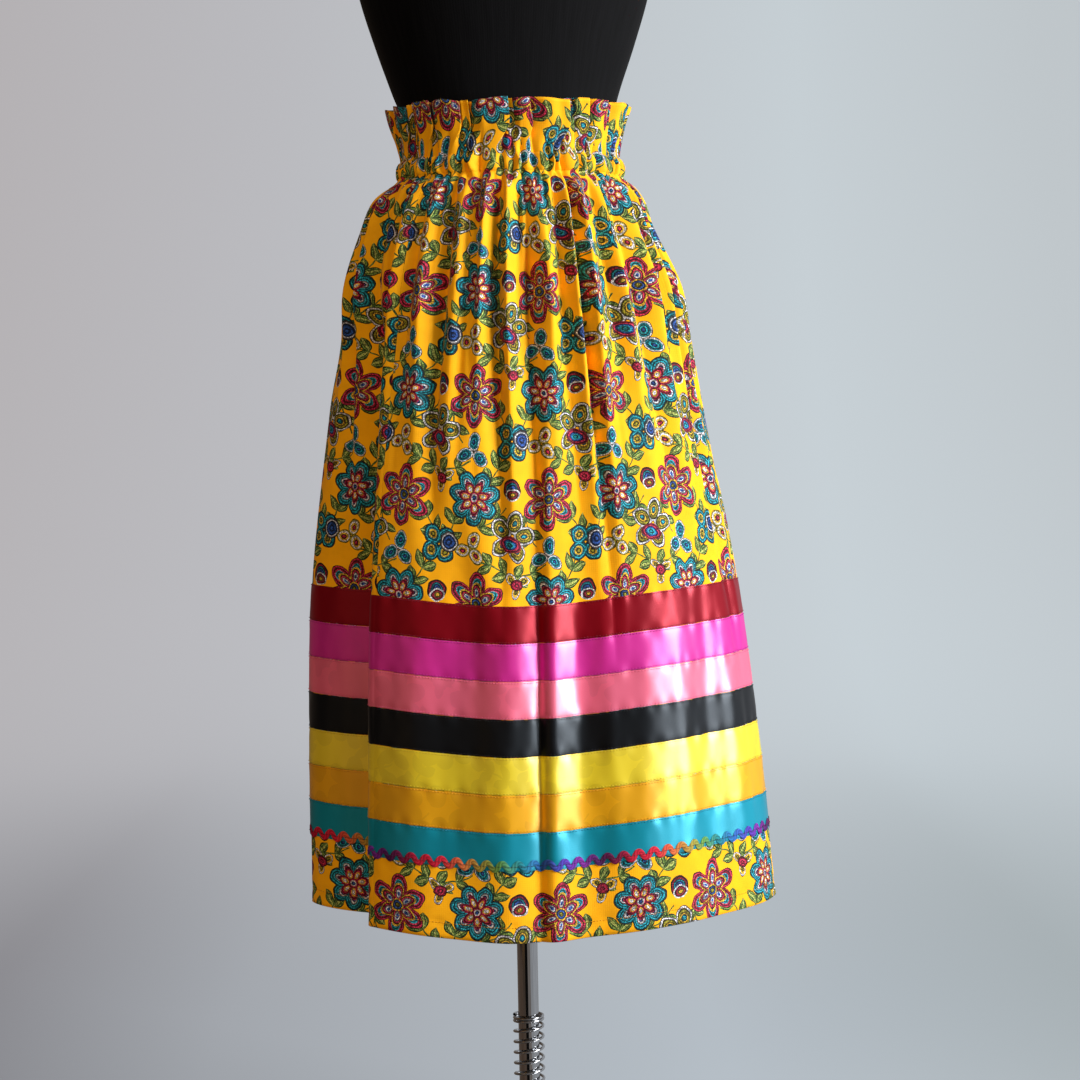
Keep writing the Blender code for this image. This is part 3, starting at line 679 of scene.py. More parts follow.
def sprig_group():
    """A curved stem along X with pairs of pointed leaves, from 0 on a leaf's midrib to 1 at its edge."""
    tree, given, result = new_group(
        "sprig",
        {"Place": "Vector", "Half length": "Float", "Leaf": "Float", "Wide": "Float"},
        {"Leaf edge": "Float", "Stem": "Float"},
    )
    along, off = add_node(tree, "ShaderNodeSeparateXYZ", {0: given.outputs[0]}).node.outputs[:2]
    # The stem bows by 3 mm and is 1.6 mm thick
    share = add_node(tree, MATH, {0: along, 1: given.outputs[1]}, operation="DIVIDE")
    bow = add_node(tree, MATH, {0: share, 1: 1.5}, operation="MULTIPLY")
    bow = add_node(tree, MATH, {0: bow}, operation="COSINE")
    bow = add_node(tree, MATH, {0: bow, 1: 3.2}, operation="MULTIPLY")
    off = add_node(tree, MATH, {0: off, 1: bow}, operation="SUBTRACT")
    off = add_node(tree, MATH, {0: off}, operation="ABSOLUTE")
    end = add_node(tree, MATH, {0: share}, operation="ABSOLUTE")
    stem = add_node(tree, MATH, {0: off, 1: 0.8}, operation="LESS_THAN")
    within = add_node(tree, MATH, {0: end, 1: 1.0}, operation="LESS_THAN")
    stem = add_node(tree, MATH, {0: stem, 1: within}, operation="MULTIPLY")
    # Leaf pairs repeat along the stem, mirrored on its two sides and leaning forward
    near = add_node(tree, MATH, {0: along, 1: given.outputs[1], 2: 0.0}, operation="WRAP")
    both = add_node(tree, "ShaderNodeCombineXYZ", {0: near, 1: off})
    both = add_node(tree, "ShaderNodeVectorRotate", {"Vector": both, "Angle": -0.75}, rotation_type="Z_AXIS")
    leaf = add_node(tree, "ShaderNodeSeparateXYZ", {0: both}).node
    length = add_node(tree, MATH, {0: leaf.outputs[0], 1: given.outputs[2]}, operation="DIVIDE")
    length = add_node(tree, MATH, {0: length, 1: 1.0}, operation="SUBTRACT")
    taper = add_node(tree, MATH, {0: length, 1: length}, operation="MULTIPLY")
    taper = add_node(tree, MATH, {0: 1.0, 1: taper}, operation="SUBTRACT")
    taper = add_node(tree, MATH, {0: taper, 1: 0.001}, operation="MAXIMUM")
    taper = add_node(tree, MATH, {0: taper, 1: given.outputs[3]}, operation="MULTIPLY")
    edge = add_node(tree, MATH, {0: leaf.outputs[1]}, operation="ABSOLUTE")
    edge = add_node(tree, MATH, {0: edge, 1: taper}, operation="DIVIDE")
    outside = add_node(tree, MATH, {0: 1.0, 1: within}, operation="SUBTRACT")
    edge = add_node(tree, MATH, {0: edge, 1: outside}, operation="ADD")
    tree.links.new(edge, result.inputs[0])
    tree.links.new(stem, result.inputs[1])
    return tree


Petals = namedtuple("Petals", "count reach long wide stops offset", defaults=((0.0, 0.0),))
WINE, RED, TEAL, SEA = "#961A38", "#C62E50", "#187C8C", "#28A8BC"
OLIVE, STRAW, PEARL, NAVY, BARK = "#9A9226", "#DDB232", "#D5D6DC", "#3058A8", "#30251A"
BEAD_ROW = 1.35  # millimetres between rows of beads
BEAD_SHADE = 0.42
# Each motif is layers of petals from the back to the front, with bands of colour from a petal's middle out
MOTIFS = {
    "rosette": (
        Petals(7, 17.0, 12.0, 9.6, ((0, NAVY), (0.22, PEARL), (0.46, SEA), (0.92, BARK))),
        Petals(7, 9.6, 8.4, 4.8, ((0, PEARL), (0.3, STRAW), (0.5, RED), (0.86, WINE))),
        Petals(1, 0.0, 5.6, 5.6, ((0, NAVY), (0.4, PEARL), (0.62, RED))),
    ),
    "daisy": (
        Petals(6, 19.6, 13.0, 9.4, ((0, NAVY), (0.2, SEA), (0.52, RED), (0.92, BARK))),
        Petals(6, 11.6, 10.6, 6.0, ((0, NAVY), (0.22, PEARL), (0.5, RED), (0.8, STRAW))),
        Petals(1, 0.0, 6.4, 6.4, ((0, OLIVE), (0.45, NAVY), (0.8, STRAW))),
    ),
    "fan": (
        Petals(5, 14.5, 13.0, 9.4, ((0, SEA), (0.3, STRAW), (0.5, OLIVE), (0.78, PEARL), (0.92, BARK))),
        Petals(1, 0.0, 8.0, 13.0, ((0, SEA), (0.38, NAVY), (0.62, RED), (0.9, WINE)), (-8.0, 0.0)),
    ),
    "shell": (
        Petals(4, 11.4, 10.6, 10.0, ((0, OLIVE), (0.3, STRAW), (0.46, TEAL), (0.66, SEA), (0.92, BARK))),
        Petals(1, 0.0, 10.4, 10.8, ((0, NAVY), (0.7, PEARL), (0.9, BARK)), (10.6, 6.0)),
    ),
    "bud": (
        Petals(1, 0.0, 11.2, 10.4, ((0, NAVY), (0.5, TEAL), (0.7, WINE), (0.92, BARK))),
        Petals(1, 0.0, 6.4, 8.6, ((0, STRAW), (0.45, WINE), (0.8, PEARL)), (-5.2, 0.0)),
    ),
    "trefoil": (
        Petals(3, 10.0, 9.8, 7.0, ((0, NAVY), (0.3, SEA), (0.6, TEAL), (0.78, PEARL), (0.92, BARK))),
    ),
    "clover": (
        Petals(3, 9.4, 9.0, 7.2, ((0, RED), (0.36, STRAW), (0.58, PEARL), (0.8, OLIVE), (0.93, BARK))),
    ),
    "bell": (
        Petals(3, 8.2, 7.4, 4.6, ((0, OLIVE), (0.4, STRAW), (0.7, PEARL), (0.9, BARK))),
        Petals(1, 0.0, 5.8, 7.0, ((0, RED), (0.6, WINE)), (1.0, 0.0)),
    ),
}
# Where each motif stands in the repeat, in millimetres across and down, and its turn in degrees
LAYOUT = table(
    "motif across down turn",
    ("rosette", 28, 28, 12), ("daisy", 114, 30, 25), ("fan", 70, 66, 75), ("shell", 157, 76, 40),
    ("bud", 71, 19, 100), ("trefoil", 111, 86, 200), ("clover", 24, 79, -50), ("bell", 160, 9, 260),
)
SPRIGS = table(
    "across down turn half leaf wide",
    (48, 47, 35, 19, 9.0, 5.4), (140, 53, 130, 19, 9.6, 5.6), (90, 100, 15, 19, 8.8, 5.0),
    (46, 98, 160, 18, 9.0, 5.2), (136, 101, 60, 18, 9.4, 5.4), (1, 54, 75, 18, 9.0, 5.0),
    (93, 60, -70, 18, 8.6, 5.0),
)


def beaded(stops, size):
    """Split each band of colour into rows of beads, by turns in its own colour and a darker one."""
    rows = []
    for (place, code), (end, _) in zip(stops, stops[1:] + ((1.0, BARK),)):
        count = max(1, min(4, round((end - place) * size / BEAD_ROW)))
        dark = "#" + "".join(f"{int(int(code[c : c + 2], 16) * BEAD_SHADE):02X}" for c in (1, 3, 5))
        rows += [(place + (end - place) * k / count, dark if k % 2 else code) for k in range(count)]
    return (*rows, (0.999, BARK, "clear"))


def lay_bands(tree, edge, stops, colour, cover):
    """Lay a shape's bands of colour over the print so far, and add the shape to the covered part."""
    bands = fill_ramp(add_node(tree, RAMP, {0: edge}), stops).node
    inputs = {0: bands.outputs[1], 6: colour, 7: bands.outputs[0]}
    colour = add_node(tree, MIX, inputs, out=2, data_type="RGBA")
    return colour, add_node(tree, MATH, {0: cover, 1: bands.outputs[1]}, operation="MAXIMUM")


LEAF = ((0, "#B0BC62"), (0.26, "#43602A"), (0.48, "#7C9A48"), (0.7, "#304824"), (0.999, BARK, "clear"))


def print_group():
    """The flower print: its colour, and how much of a motif or the bare ground a place holds."""
    repeat, petals, sprig = repeat_place_group(), petal_group(), sprig_group()
    tree, given, result = new_group(
        "flower print",
        {"Cloth": "Vector", "Ground": "Color", "Leaf": "Color"},
        {"Color": "Color", "Motif": "Float"},
    )
    place = add_node(tree, VECTOR, {0: given.outputs[0], "Scale": 1000.0}, operation="SCALE")
    # Printed edges that wander by half a millimetre
    drift = add_node(tree, "ShaderNodeTexNoise", {"Vector": place, "Scale": 0.11, "Detail": 0.0}, out=1)
    drift = add_node(tree, VECTOR, {0: drift, 1: (0.5, 0.5, 0.5)}, operation="SUBTRACT")
    drift = add_node(tree, VECTOR, {0: drift, "Scale": 3.0}, operation="SCALE")
    place = add_node(tree, VECTOR, {0: place, 1: drift}, operation="ADD")
    colour, cover = given.outputs[1], 0.0
    for item in (*SPRIGS, *LAYOUT):
        there = {0: place, 1: (item.across, item.down, 0), 2: math.radians(item.turn)}
        there = add_node(tree, GROUP, there, node_tree=repeat)
        if item in SPRIGS:
            sizes = {0: there, 1: item.half, 2: item.leaf, 3: item.wide}
            edge, stem = add_node(tree, GROUP, sizes, node_tree=sprig).node.outputs
            stems = {0: stem, 6: colour, 7: given.outputs[2]}
            colour = add_node(tree, MIX, stems, out=2, data_type="RGBA")
            cover = add_node(tree, MATH, {0: cover, 1: stem}, operation="MAXIMUM")
            colour, cover = lay_bands(tree, edge, LEAF, colour, cover)
            continue
        for layer in MOTIFS[item.motif]:
            own = there
            if any(layer.offset):
                own = add_node(tree, VECTOR, {0: there, 1: (*layer.offset, 0)}, operation="SUBTRACT")
            sizes = {0: own, 1: math.pi / layer.count, 2: layer.reach, 3: layer.long, 4: layer.wide}
            edge = add_node(tree, GROUP, sizes, node_tree=petals)
            stops = beaded(layer.stops, (layer.long + layer.wide) / 2)
            colour, cover = lay_bands(tree, edge, stops, colour, cover)
    # The motifs are drawn in beads about 1.4 mm apart: bright dots on a dark ground
    dots = add_node(tree, "ShaderNodeTexVoronoi", {"Vector": place, "Scale": 0.72, "Randomness": 0.6}, out=0)
    bead = add_node(tree, "ShaderNodeMapRange", {0: dots, 1: 0.1, 2: 0.6, 3: 1.95, 4: 0.26})
    bead = add_node(tree, MIX, {0: cover, 2: 1.0, 3: bead}, data_type="FLOAT")
    colour = add_node(tree, VECTOR, {0: colour, "Scale": bead}, operation="SCALE")
    tree.links.new(colour, result.inputs[0])
    tree.links.new(cover, result.inputs[1])
    return tree


def new_material(name):
    """A material, its node tree and its Principled shader."""
    material = bpy.data.materials.new(name)
    material.use_nodes = True
    tree = material.node_tree
    shader = tree.nodes["Principled BSDF"]
    return material, tree, shader


# How much print shows through each ribbon, the share of its gloss that takes the dye's colour, and its index
SATINS = table(
    "through tinted index",
    (0.0, 0.42, 1.40), (0.06, 0.28, 1.85), (0.24, 0.20, 2.15), (0.0, 0.0, 1.38), (0.24, 0.26, 1.9),
    (0.26, 0.34, 1.65), (0.0, 0.34, 1.47),
)


def print_nodes(tree):
    """The flower print's colour and cover in a material's own nodes."""
    settings = bpy.context.scene.ribbon_skirt_cloth
    group = bpy.data.node_groups.get("flower print") or print_group()
    place = add_node(tree, "ShaderNodeUVMap", uv_map="cloth")
    colours = {0: place, 1: (*settings.ground, 1), 2: (*settings.leaf, 1)}
    return place, add_node(tree, GROUP, colours, node_tree=group).node


def print_cotton():
    """Printed plain-weave cotton: a matt, slightly fuzzy surface, with the dye sunk into the yarns."""
    name = "printed plain-weave cotton"
    if name in bpy.data.materials:
        return bpy.data.materials[name]
    material, tree, shader = new_material(name)
    place, flower = print_nodes(tree)
    # Yarns are 0.35 mm apart; drawn 2.2 mm apart so that they show
    weave = {"Vector": add_node(tree, VECTOR, {0: place, "Scale": 1 / 0.0011}, operation="SCALE")}
    weave.update({"Scale": 0.16, "Distortion": 0.4})
    warp, weft = (add_node(tree, "ShaderNodeTexWave", weave, out=1, bands_direction=way) for way in "XY")
    height = add_node(tree, MATH, {0: warp, 1: weft}, operation="ADD")
    slub = add_node(tree, "ShaderNodeTexNoise", {"Vector": place, "Scale": 60.0, "Detail": 3.0})
    shade = add_node(tree, "ShaderNodeMapRange", {0: slub, 1: 0.3, 2: 0.7, 3: 0.93, 4: 1.06})
    colour = add_node(tree, VECTOR, {0: flower.outputs[0], "Scale": shade}, operation="SCALE")
    bump = add_node(tree, "ShaderNodeBump", {"Strength": 0.12, "Distance": 0.0003, "Height": height})
    fill_inputs(shader, {"Base Color": colour, "Normal": bump, "Roughness": 0.78})
    fill_inputs(shader, {"Specular IOR Level": 0.28, "Sheen Weight": 0.06, "Sheen Roughness": 0.45})
    return material


def ribbon_satin(colour, through, tinted, index):
    """Woven polyester satin: long floats along the ribbon, so light pools in broad bands across it."""
    material, tree, shader = new_material(f"polyester satin {colour}")
    settings = bpy.context.scene.ribbon_skirt_ribbons
    place, flower = print_nodes(tree)
    base = getattr(settings, colour)
    # Thin pale ribbons let the darker motifs show through a little
    veil = add_node(tree, MATH, {0: flower.outputs[1], 1: through}, operation="MULTIPLY")
    under = (*[0.62 * part for part in base], 1)
    mixed = add_node(tree, MIX, {0: veil, 6: (*base, 1), 7: under}, out=2, data_type="RGBA")
    broad = add_node(tree, VECTOR, {0: place, 1: (26, 6, 1)}, operation="MULTIPLY")
    cloudy = add_node(tree, "ShaderNodeTexNoise", {"Vector": broad, "Scale": 1.0, "Detail": 2.0})
    shade = add_node(tree, "ShaderNodeMapRange", {0: cloudy, 1: 0.3, 2: 0.7, 3: 0.9, 4: 1.08})
    mixed = add_node(tree, VECTOR, {0: mixed, "Scale": shade}, operation="SCALE")
    # Floats are 0.2 mm apart; drawn as 1 mm streaks along the ribbon
    streak = add_node(tree, VECTOR, {0: place, 1: (45, 1000, 1)}, operation="MULTIPLY")
    floats = add_node(tree, "ShaderNodeTexNoise", {"Vector": streak, "Scale": 1.0, "Detail": 1.0})
    # The laid ribbon is slightly crumpled, with dents about 30 mm apart along it
    crumple = {"Vector": add_node(tree, VECTOR, {0: place, 1: (34, 5, 1)}, operation="MULTIPLY")}
    crumple.update({"Scale": 1.0, "Detail": 1.0, "Roughness": 0.4})
    crumple = add_node(tree, "ShaderNodeTexNoise", crumple)
    bump = add_node(tree, "ShaderNodeBump", {"Strength": 0.34, "Distance": 0.0042, "Height": crumple})
    fine = {"Strength": 0.10, "Distance": 0.0003, "Height": floats, "Normal": bump}
    bump = add_node(tree, "ShaderNodeBump", fine)
    gloss = add_node(tree, "ShaderNodeMapRange", {0: cloudy, 1: 0.3, 2: 0.7, 3: 0.35, 4: 0.44})
    along = add_node(tree, "ShaderNodeTangent", direction_type="UV_MAP", uv_map="cloth")
    fill_inputs(shader, {"Base Color": mixed, "Normal": bump, "Roughness": gloss, "Tangent": along})
    # Light that passes through the dyed filaments takes their colour; the rest of the gloss stays pale
    fill_inputs(shader, {"Metallic": tinted, "IOR": index, "Specular IOR Level": 0.8})
    fill_inputs(shader, {"Specular Tint": (0.80, 0.90, 1.0, 1.0)})
    fill_inputs(shader, {"Anisotropic": 0.6, "Anisotropic Rotation": 0.25})
    return material


def rickrack_braid():
    """Braided cotton dyed in a rainbow along its length: matt, with slanting ribs across the braid."""
    material, tree, shader = new_material("space-dyed cotton braid")
    settings = bpy.context.scene.ribbon_skirt_ribbons
    place = add_node(tree, "ShaderNodeUVMap", uv_map="cloth")
    parts = add_node(tree, "ShaderNodeSeparateXYZ", {0: place}).node
    run = add_node(tree, MATH, {0: parts.outputs[0], 1: settings.rainbow_length}, operation="DIVIDE")
    run = add_node(tree, MATH, {0: run}, operation="FRACT")
    stops = (
        (0.0, "#B81432"), (0.12, "#D0203A"), (0.2, "#D2663A"), (0.29, "#A79038"),
        (0.38, "#5F9448"), (0.47, "#1F7F86"), (0.57, "#2A66B4"), (0.67, "#4A38A8"),
        (0.76, "#7A2392"), (0.86, "#471652"), (0.94, "#7C1440"), (1.0, "#B81432"),
    )
    dye = fill_ramp(add_node(tree, RAMP, {0: run}), stops, banded=False)
    # The braid's ribs are about 1 mm apart; drawn 2.8 mm apart so that they show
    rib = {"Vector": place, "Scale": 160.0, "Distortion": 0.3}
    rib = add_node(tree, "ShaderNodeTexWave", rib, out=1, bands_direction="DIAGONAL")
    # Painted shade: the dye is darker in the grooves between the ribs and paler on their tops
    shade = add_node(tree, "ShaderNodeMapRange", {0: rib, 3: 0.62, 4: 1.1})
    dye = add_node(tree, VECTOR, {0: dye, "Scale": shade}, operation="SCALE")
    bump = add_node(tree, "ShaderNodeBump", {"Strength": 0.4, "Distance": 0.0003, "Height": rib})
    fill_inputs(shader, {"Base Color": dye, "Normal": bump, "Roughness": 0.8, "Specular IOR Level": 0.3})
    return material


def sewing_thread(name, code):
    """Spun polyester thread: a soft gloss on a twisted strand."""
    name = f"polyester thread {name}"
    if name in bpy.data.materials:
        return bpy.data.materials[name]
    material, tree, shader = new_material(name)
    place = add_node(tree, "ShaderNodeTexCoord", out=3)
    twist = add_node(tree, "ShaderNodeTexNoise", {"Vector": place, "Scale": 900.0, "Detail": 1.0})
    shade = add_node(tree, "ShaderNodeMapRange", {0: twist, 3: 0.8, 4: 1.15})
    colour = add_node(tree, VECTOR, {0: linear_colour(code)[:3], "Scale": shade}, operation="SCALE")
    fill_inputs(shader, {"Base Color": colour, "Roughness": 0.5})
    return material


def form_jersey():
    """Knitted viscose jersey over the form: matt black, with fine upright wales and a faint bloom."""
    material, tree, shader = new_material("black knitted jersey")
    place = add_node(tree, "ShaderNodeUVMap", uv_map="cloth")
    # Wales are 0.8 mm apart; drawn 2.8 mm apart
    wales = add_node(tree, "ShaderNodeTexWave", {"Vector": place, "Scale": 112.0, "Distortion": 0.2}, out=1)
    long = add_node(tree, VECTOR, {0: place, 1: (260, 18, 1)}, operation="MULTIPLY")
    uneven = add_node(tree, "ShaderNodeTexNoise", {"Vector": long, "Scale": 1.0, "Detail": 3.0})
    stops = (0.3, "#040405"), (0.7, "#09090B")
    black = fill_ramp(add_node(tree, RAMP, {0: uneven}), stops, banded=False)
    height = add_node(tree, MATH, {0: wales, 1: uneven}, operation="ADD")
    bump = add_node(tree, "ShaderNodeBump", {"Strength": 0.12, "Distance": 0.0003, "Height": height})
    fill_inputs(shader, {"Base Color": black, "Normal": bump, "Roughness": 0.85})
    fill_inputs(shader, {"Specular IOR Level": 0.12, "Sheen Weight": 0.03, "Sheen Roughness": 0.4})
    return material


def polished_chrome():
    """Chromium-plated steel, buffed: a mirror with the faint haze and draw lines of use."""
    material, tree, shader = new_material("polished chrome plate")
    place = add_node(tree, "ShaderNodeTexCoord", out=3)
    long = add_node(tree, VECTOR, {0: place, 1: (900, 900, 30)}, operation="MULTIPLY")
    lines = add_node(tree, "ShaderNodeTexNoise", {"Vector": long, "Scale": 1.0, "Detail": 2.0})
    haze = add_node(tree, "ShaderNodeTexNoise", {"Vector": place, "Scale": 14.0, "Detail": 3.0})
    rough = add_node(tree, "ShaderNodeMapRange", {0: haze, 1: 0.3, 2: 0.7, 3: 0.05, 4: 0.11})
    stops = (0.3, "#B9BABC"), (0.7, "#CBCCCE")
    colour = fill_ramp(add_node(tree, RAMP, {0: lines}), stops, banded=False)
    fill_inputs(shader, {"Base Color": colour, "Roughness": rough, "Metallic": 1.0})
    return material


def panel_columns(first, cells=CELLS):
    """The mesh columns of one panel."""
    inside = first + np.arange(1, PANEL_COLUMNS * cells) / cells
    return np.concatenate([[first + SEAM_HALF], inside, [first + PANEL_COLUMNS - SEAM_HALF]])


def flat_places(columns, lengths, first):
    """Flat cloth places in metres: across from the panel's left edge, and down from the casing."""
    across = (columns - first) * COLUMN_WIDTH + (0.0 if first == SEAM_SHIFT else BACK_PRINT)
    return np.stack(np.broadcast_arrays(across[:, None], lengths[None, :]), axis=-1)


class RIBBONSKIRT_OT_panels(bpy.types.Operator):
    """Hang the front and back panels, with their hems turned up inside"""

    bl_idname = "ribbon_skirt.panels"
    bl_label = "Skirt panels"

    def execute(self, context):
        turn = context.scene.ribbon_skirt_cloth.hem_turn
        for side, first in PANELS:
            columns = panel_columns(first)
            # The rows are closer together in the gathers at the top
            lengths = np.concatenate([np.linspace(0.0, 0.09, 34)[:-1], np.linspace(0.09, HEM, 182)])
            points = cloth_points(columns[:, None], lengths[None, :])
            normals = surface_normals(points)
            # The hem rolls over its edge and goes up the inside
            inside = np.linspace(HEM - 0.0006, HEM - turn, 5)
            lower = cloth_points(columns[:, None], inside[None, :])
            edge = points[:, -1:] - normals[:, -1:] * HEM_ROLL + np.array([0, 0, -0.0005])
            turned = lower - normals[:, -1:] * 0.0015
            points = np.concatenate([points, edge, turned], axis=1)
            down = np.concatenate([lengths, [HEM + HEM_ROLL], HEM + 2 * HEM_ROLL + (HEM - inside)])
            mesh = grid_mesh(f"skirt_cloth_{side}", points, flat_places(columns, down, first))
            piece = add_piece(mesh, print_cotton(), "print_cotton", f"skirt_{side}")
        return {"FINISHED"}


class RIBBONSKIRT_OT_waist(bpy.types.Operator):
    """Gather the casing on its elastic, under the standing ruffle"""

    bl_idname = "ribbon_skirt.waist"
    bl_label = "Casing and ruffle"

    def execute(self, context):
        for side, first in PANELS:
            columns = panel_columns(first, WAIST_CELLS)
            angle = column_angle(columns)[:, None]
            # The casing swells between its two rows of stitches
            heights = np.linspace(CASING_TOP, CASING_SEAM, 13)
            share = (heights - CASING_SEAM) / (CASING_TOP - CASING_SEAM)
            puffed = np.abs(np.sin(np.pi * share)) ** 0.6
            bent = 0.26 * ripple(columns, 24)[:, None] * np.sin(np.pi * share)
            valley = casing_gather(columns[:, None] + bent) * puffed
            valley = valley + seam_gather(columns)[:, None] * (1 - puffed)
            points = around(outline_radius(angle, heights) - valley + CASING_SWELL * puffed, angle, heights)
            flat = flat_places(columns, -(heights - CASING_SEAM), first)
            mesh = grid_mesh(f"casing_cloth_{side}", points, flat)
            casing = add_piece(mesh, print_cotton(), "print_cotton", f"waist_casing_{side}")
            mesh = self.ruffle_mesh(side, first, columns)
            ruffle = add_piece(mesh, print_cotton(), "print_cotton", f"waist_ruffle_{side}")
        return {"FINISHED"}

    def ruffle_mesh(self, side, first, columns):
        """The ruffle's outer face, rolled top edge and inner face, as one folded sheet in flat pleats."""
        climb = np.concatenate([np.linspace(0.0, 1.0, 18), np.linspace(0.97, 0.0, 12)])
        inner = np.concatenate([np.zeros(18), np.ones(12)])
        firsts = np.concatenate([[0], np.cumsum([p.columns for p in PLEATS])])
        firsts = firsts * PANEL_COLUMNS / firsts[-1]
        _, depths, overs, leans = np.array([*PLEATS, PLEATS[0]]).T
        local = (columns - first)[:, None]
        index = np.clip(np.searchsorted(firsts, local, side="right") - 1, 0, len(PLEATS) - 1)
        width = firsts[index + 1] - firsts[index]
        share = (local - firsts[index]) / width
        # A pleat's face comes out from under the last one and reaches over the next, then turns back
        face = np.minimum(share / PLEAT_FACE, 1)
        back = np.clip((share - PLEAT_FACE) / (1 - PLEAT_FACE), 0, 1)
        passed = face * (1 + overs[index]) - overs[index] * back
        sunk = depths[index] * (1 - smooth_step(face * 2.2)) + depths[index + 1] * back**0.7
        # Narrow pleats lie deeper than the wide ones beside them
        sunk = sunk + np.where(width < NARROW_PLEAT, 0.0060, 0.0) * np.sin(np.pi * share)
        formed = smooth_step(climb * 1.7)[None, :]
        upright = np.minimum(np.minimum(local, PANEL_COLUMNS - local) / 2.5, 1)
        lean = np.interp(local[:, 0], firsts, leans)[:, None] * upright * climb[None, :]
        column = first + firsts[index] + width * (share + (passed - share) * formed) + lean
        limit = (CASING_GATHER + 0.0088 * climb[None, :]) / 0.0115
        folded = sunk * limit + 0.0007 * ripple(columns, 62)[:, None] * climb[None, :]
        valley = seam_gather(columns)[:, None] * (1 - formed) + folded * formed
        angle = column_angle(column)
        rise = 0.0011 * ripple(columns, 18, 1.7 * ripple(columns, 10))[:, None]
        rise = (rise + 0.006 * np.sin(2.7 * index + 0.5) * (0.5 - share)) * climb
        low = CASING_TOP - 0.0004
        height = low + (RUFFLE_TOP - low) * climb[None, :] + rise - 0.0002 * inner
        radius = outline_radius(angle, height) - valley - inner * (0.0004 + 0.0007 * climb)
        points = around(radius, angle, height)
        tall = RUFFLE_TOP - CASING_TOP
        down = -(CASING_TOP - CASING_SEAM) - np.where(inner > 0, 2 - climb, climb) * tall
        return grid_mesh(f"ruffle_cloth_{side}", points, flat_places(columns, down, first))


class RIBBONSKIRT_OT_ribbons(bpy.types.Operator):
    """Lay seven satin ribbons round each panel, edge to edge"""

    bl_idname = "ribbon_skirt.ribbons"
    bl_label = "Satin ribbons"

    def execute(self, context):
        for k, colour in enumerate(RIBBONS):
            satin = ribbon_satin(colour, *SATINS[k])
            top = UPPER_LENGTH + RIBBON_WIDTH * k
            for side, first in PANELS:
                columns = panel_columns(first)
                lengths = np.linspace(top + RIBBON_GAP, top + RIBBON_WIDTH - RIBBON_GAP, RIBBON_ROWS)
                points = cloth_points(columns[:, None], lengths[None, :])
                # The ribbon's woven edges bend down onto the cloth
                share = np.linspace(0, 1, RIBBON_ROWS)
                lift = LAY_GAP + RIBBON_RISE * (1 - np.abs(2 * share - 1) ** 8)
                points = points + surface_normals(points) * lift[None, :, None]
                mesh = grid_mesh(f"satin_{colour}_{side}", points, flat_places(columns, lengths, first))
                piece = add_piece(mesh, satin, f"satin_{colour}", f"ribbon_{colour}_{side}")
        return {"FINISHED"}


class RIBBONSKIRT_OT_rickrack(bpy.types.Operator):
    """Lay the rickrack along the last ribbon's lower edge"""

    bl_idname = "ribbon_skirt.rickrack"
    bl_label = "Rickrack"

    def execute(self, context):
        settings = context.scene.ribbon_skirt_ribbons
        band = settings.rickrack_band
        braid = rickrack_braid()
        for side, first in PANELS:
            ends = first + 0.02, first + PANEL_COLUMNS - 0.02
            run = np.linspace(*ends, PANEL_COLUMNS * RICKRACK_CELLS + 1)
            wave = -np.cos(2 * np.pi * run)
            middle = RICKRACK_LINE + settings.rickrack_swing * np.sign(wave) * np.abs(wave) ** 0.85
            # The braid's own direction in the flat cloth
            step = unit(np.stack([np.gradient(run) * COLUMN_WIDTH, np.gradient(middle)], axis=-1))
            across = np.linspace(-0.5, 0.5, 7)
            columns = run[:, None] - step[:, 1:] * across * band / COLUMN_WIDTH
            along = middle[:, None] + step[:, :1] * across * band
            crown = LAY_GAP + BRAID_FOOT + BRAID_CROWN * np.sqrt(np.maximum(1 - (2 * across) ** 2, 0))
            points = cloth_points(columns, along) + cloth_normals(columns, along) * crown[None, :, None]
            straight = (run - first) * COLUMN_WIDTH + RAINBOW_STARTS[side]
            flat = np.stack(np.broadcast_arrays(straight[:, None], across * band), axis=-1)
            mesh = grid_mesh(f"rickrack_braid_{side}", points, flat)
            add_piece(mesh, braid, "rickrack_braid", f"rickrack_{side}")
        return {"FINISHED"}


def stitch_mesh(name, starts, ends, normals, thickness):
    """One short thread for each start and end, with a diamond section and ends that dip into the cloth."""
    side = unit(np.cross(ends - starts, normals))
    half = thickness / 2
    middle = (starts + ends) / 2 + normals * half * 1.2
    rings = []
    for centre, size, lift in ((starts, 0.6, -0.4), (middle, 1.0, 0.0), (ends, 0.6, -0.4)):
        centre = centre + normals * half * lift
        corners = [side * half * size, normals * half * size, -side * half * size, -normals * half * size]
        rings.append(np.stack([centre + corner for corner in corners], axis=1))
    points = np.stack(rings, axis=1).reshape(-1, 3)
    pairs = [(ring + k, ring + (k + 1) % 4) for ring in (0, 4) for k in range(4)]
    faces = [(a, b, b + 4, a + 4) for a, b in pairs] + [(3, 2, 1, 0), (8, 9, 10, 11)]
    every = (np.arange(len(starts)) * 12)[:, None, None] + np.array(faces)[None]
    mesh = bpy.data.meshes.new(name)
    mesh.from_pydata(points.tolist(), [], every.reshape(-1, 4).tolist())
    mesh.shade_smooth()
    return mesh


# The threads that sew on the ribbons, from the first to the seventh
THREADS = ("#7C0A24", "#B0268F", "#E56A92", "#101012", "#CDBB2C", "#D9930B", "#0A7E9C")


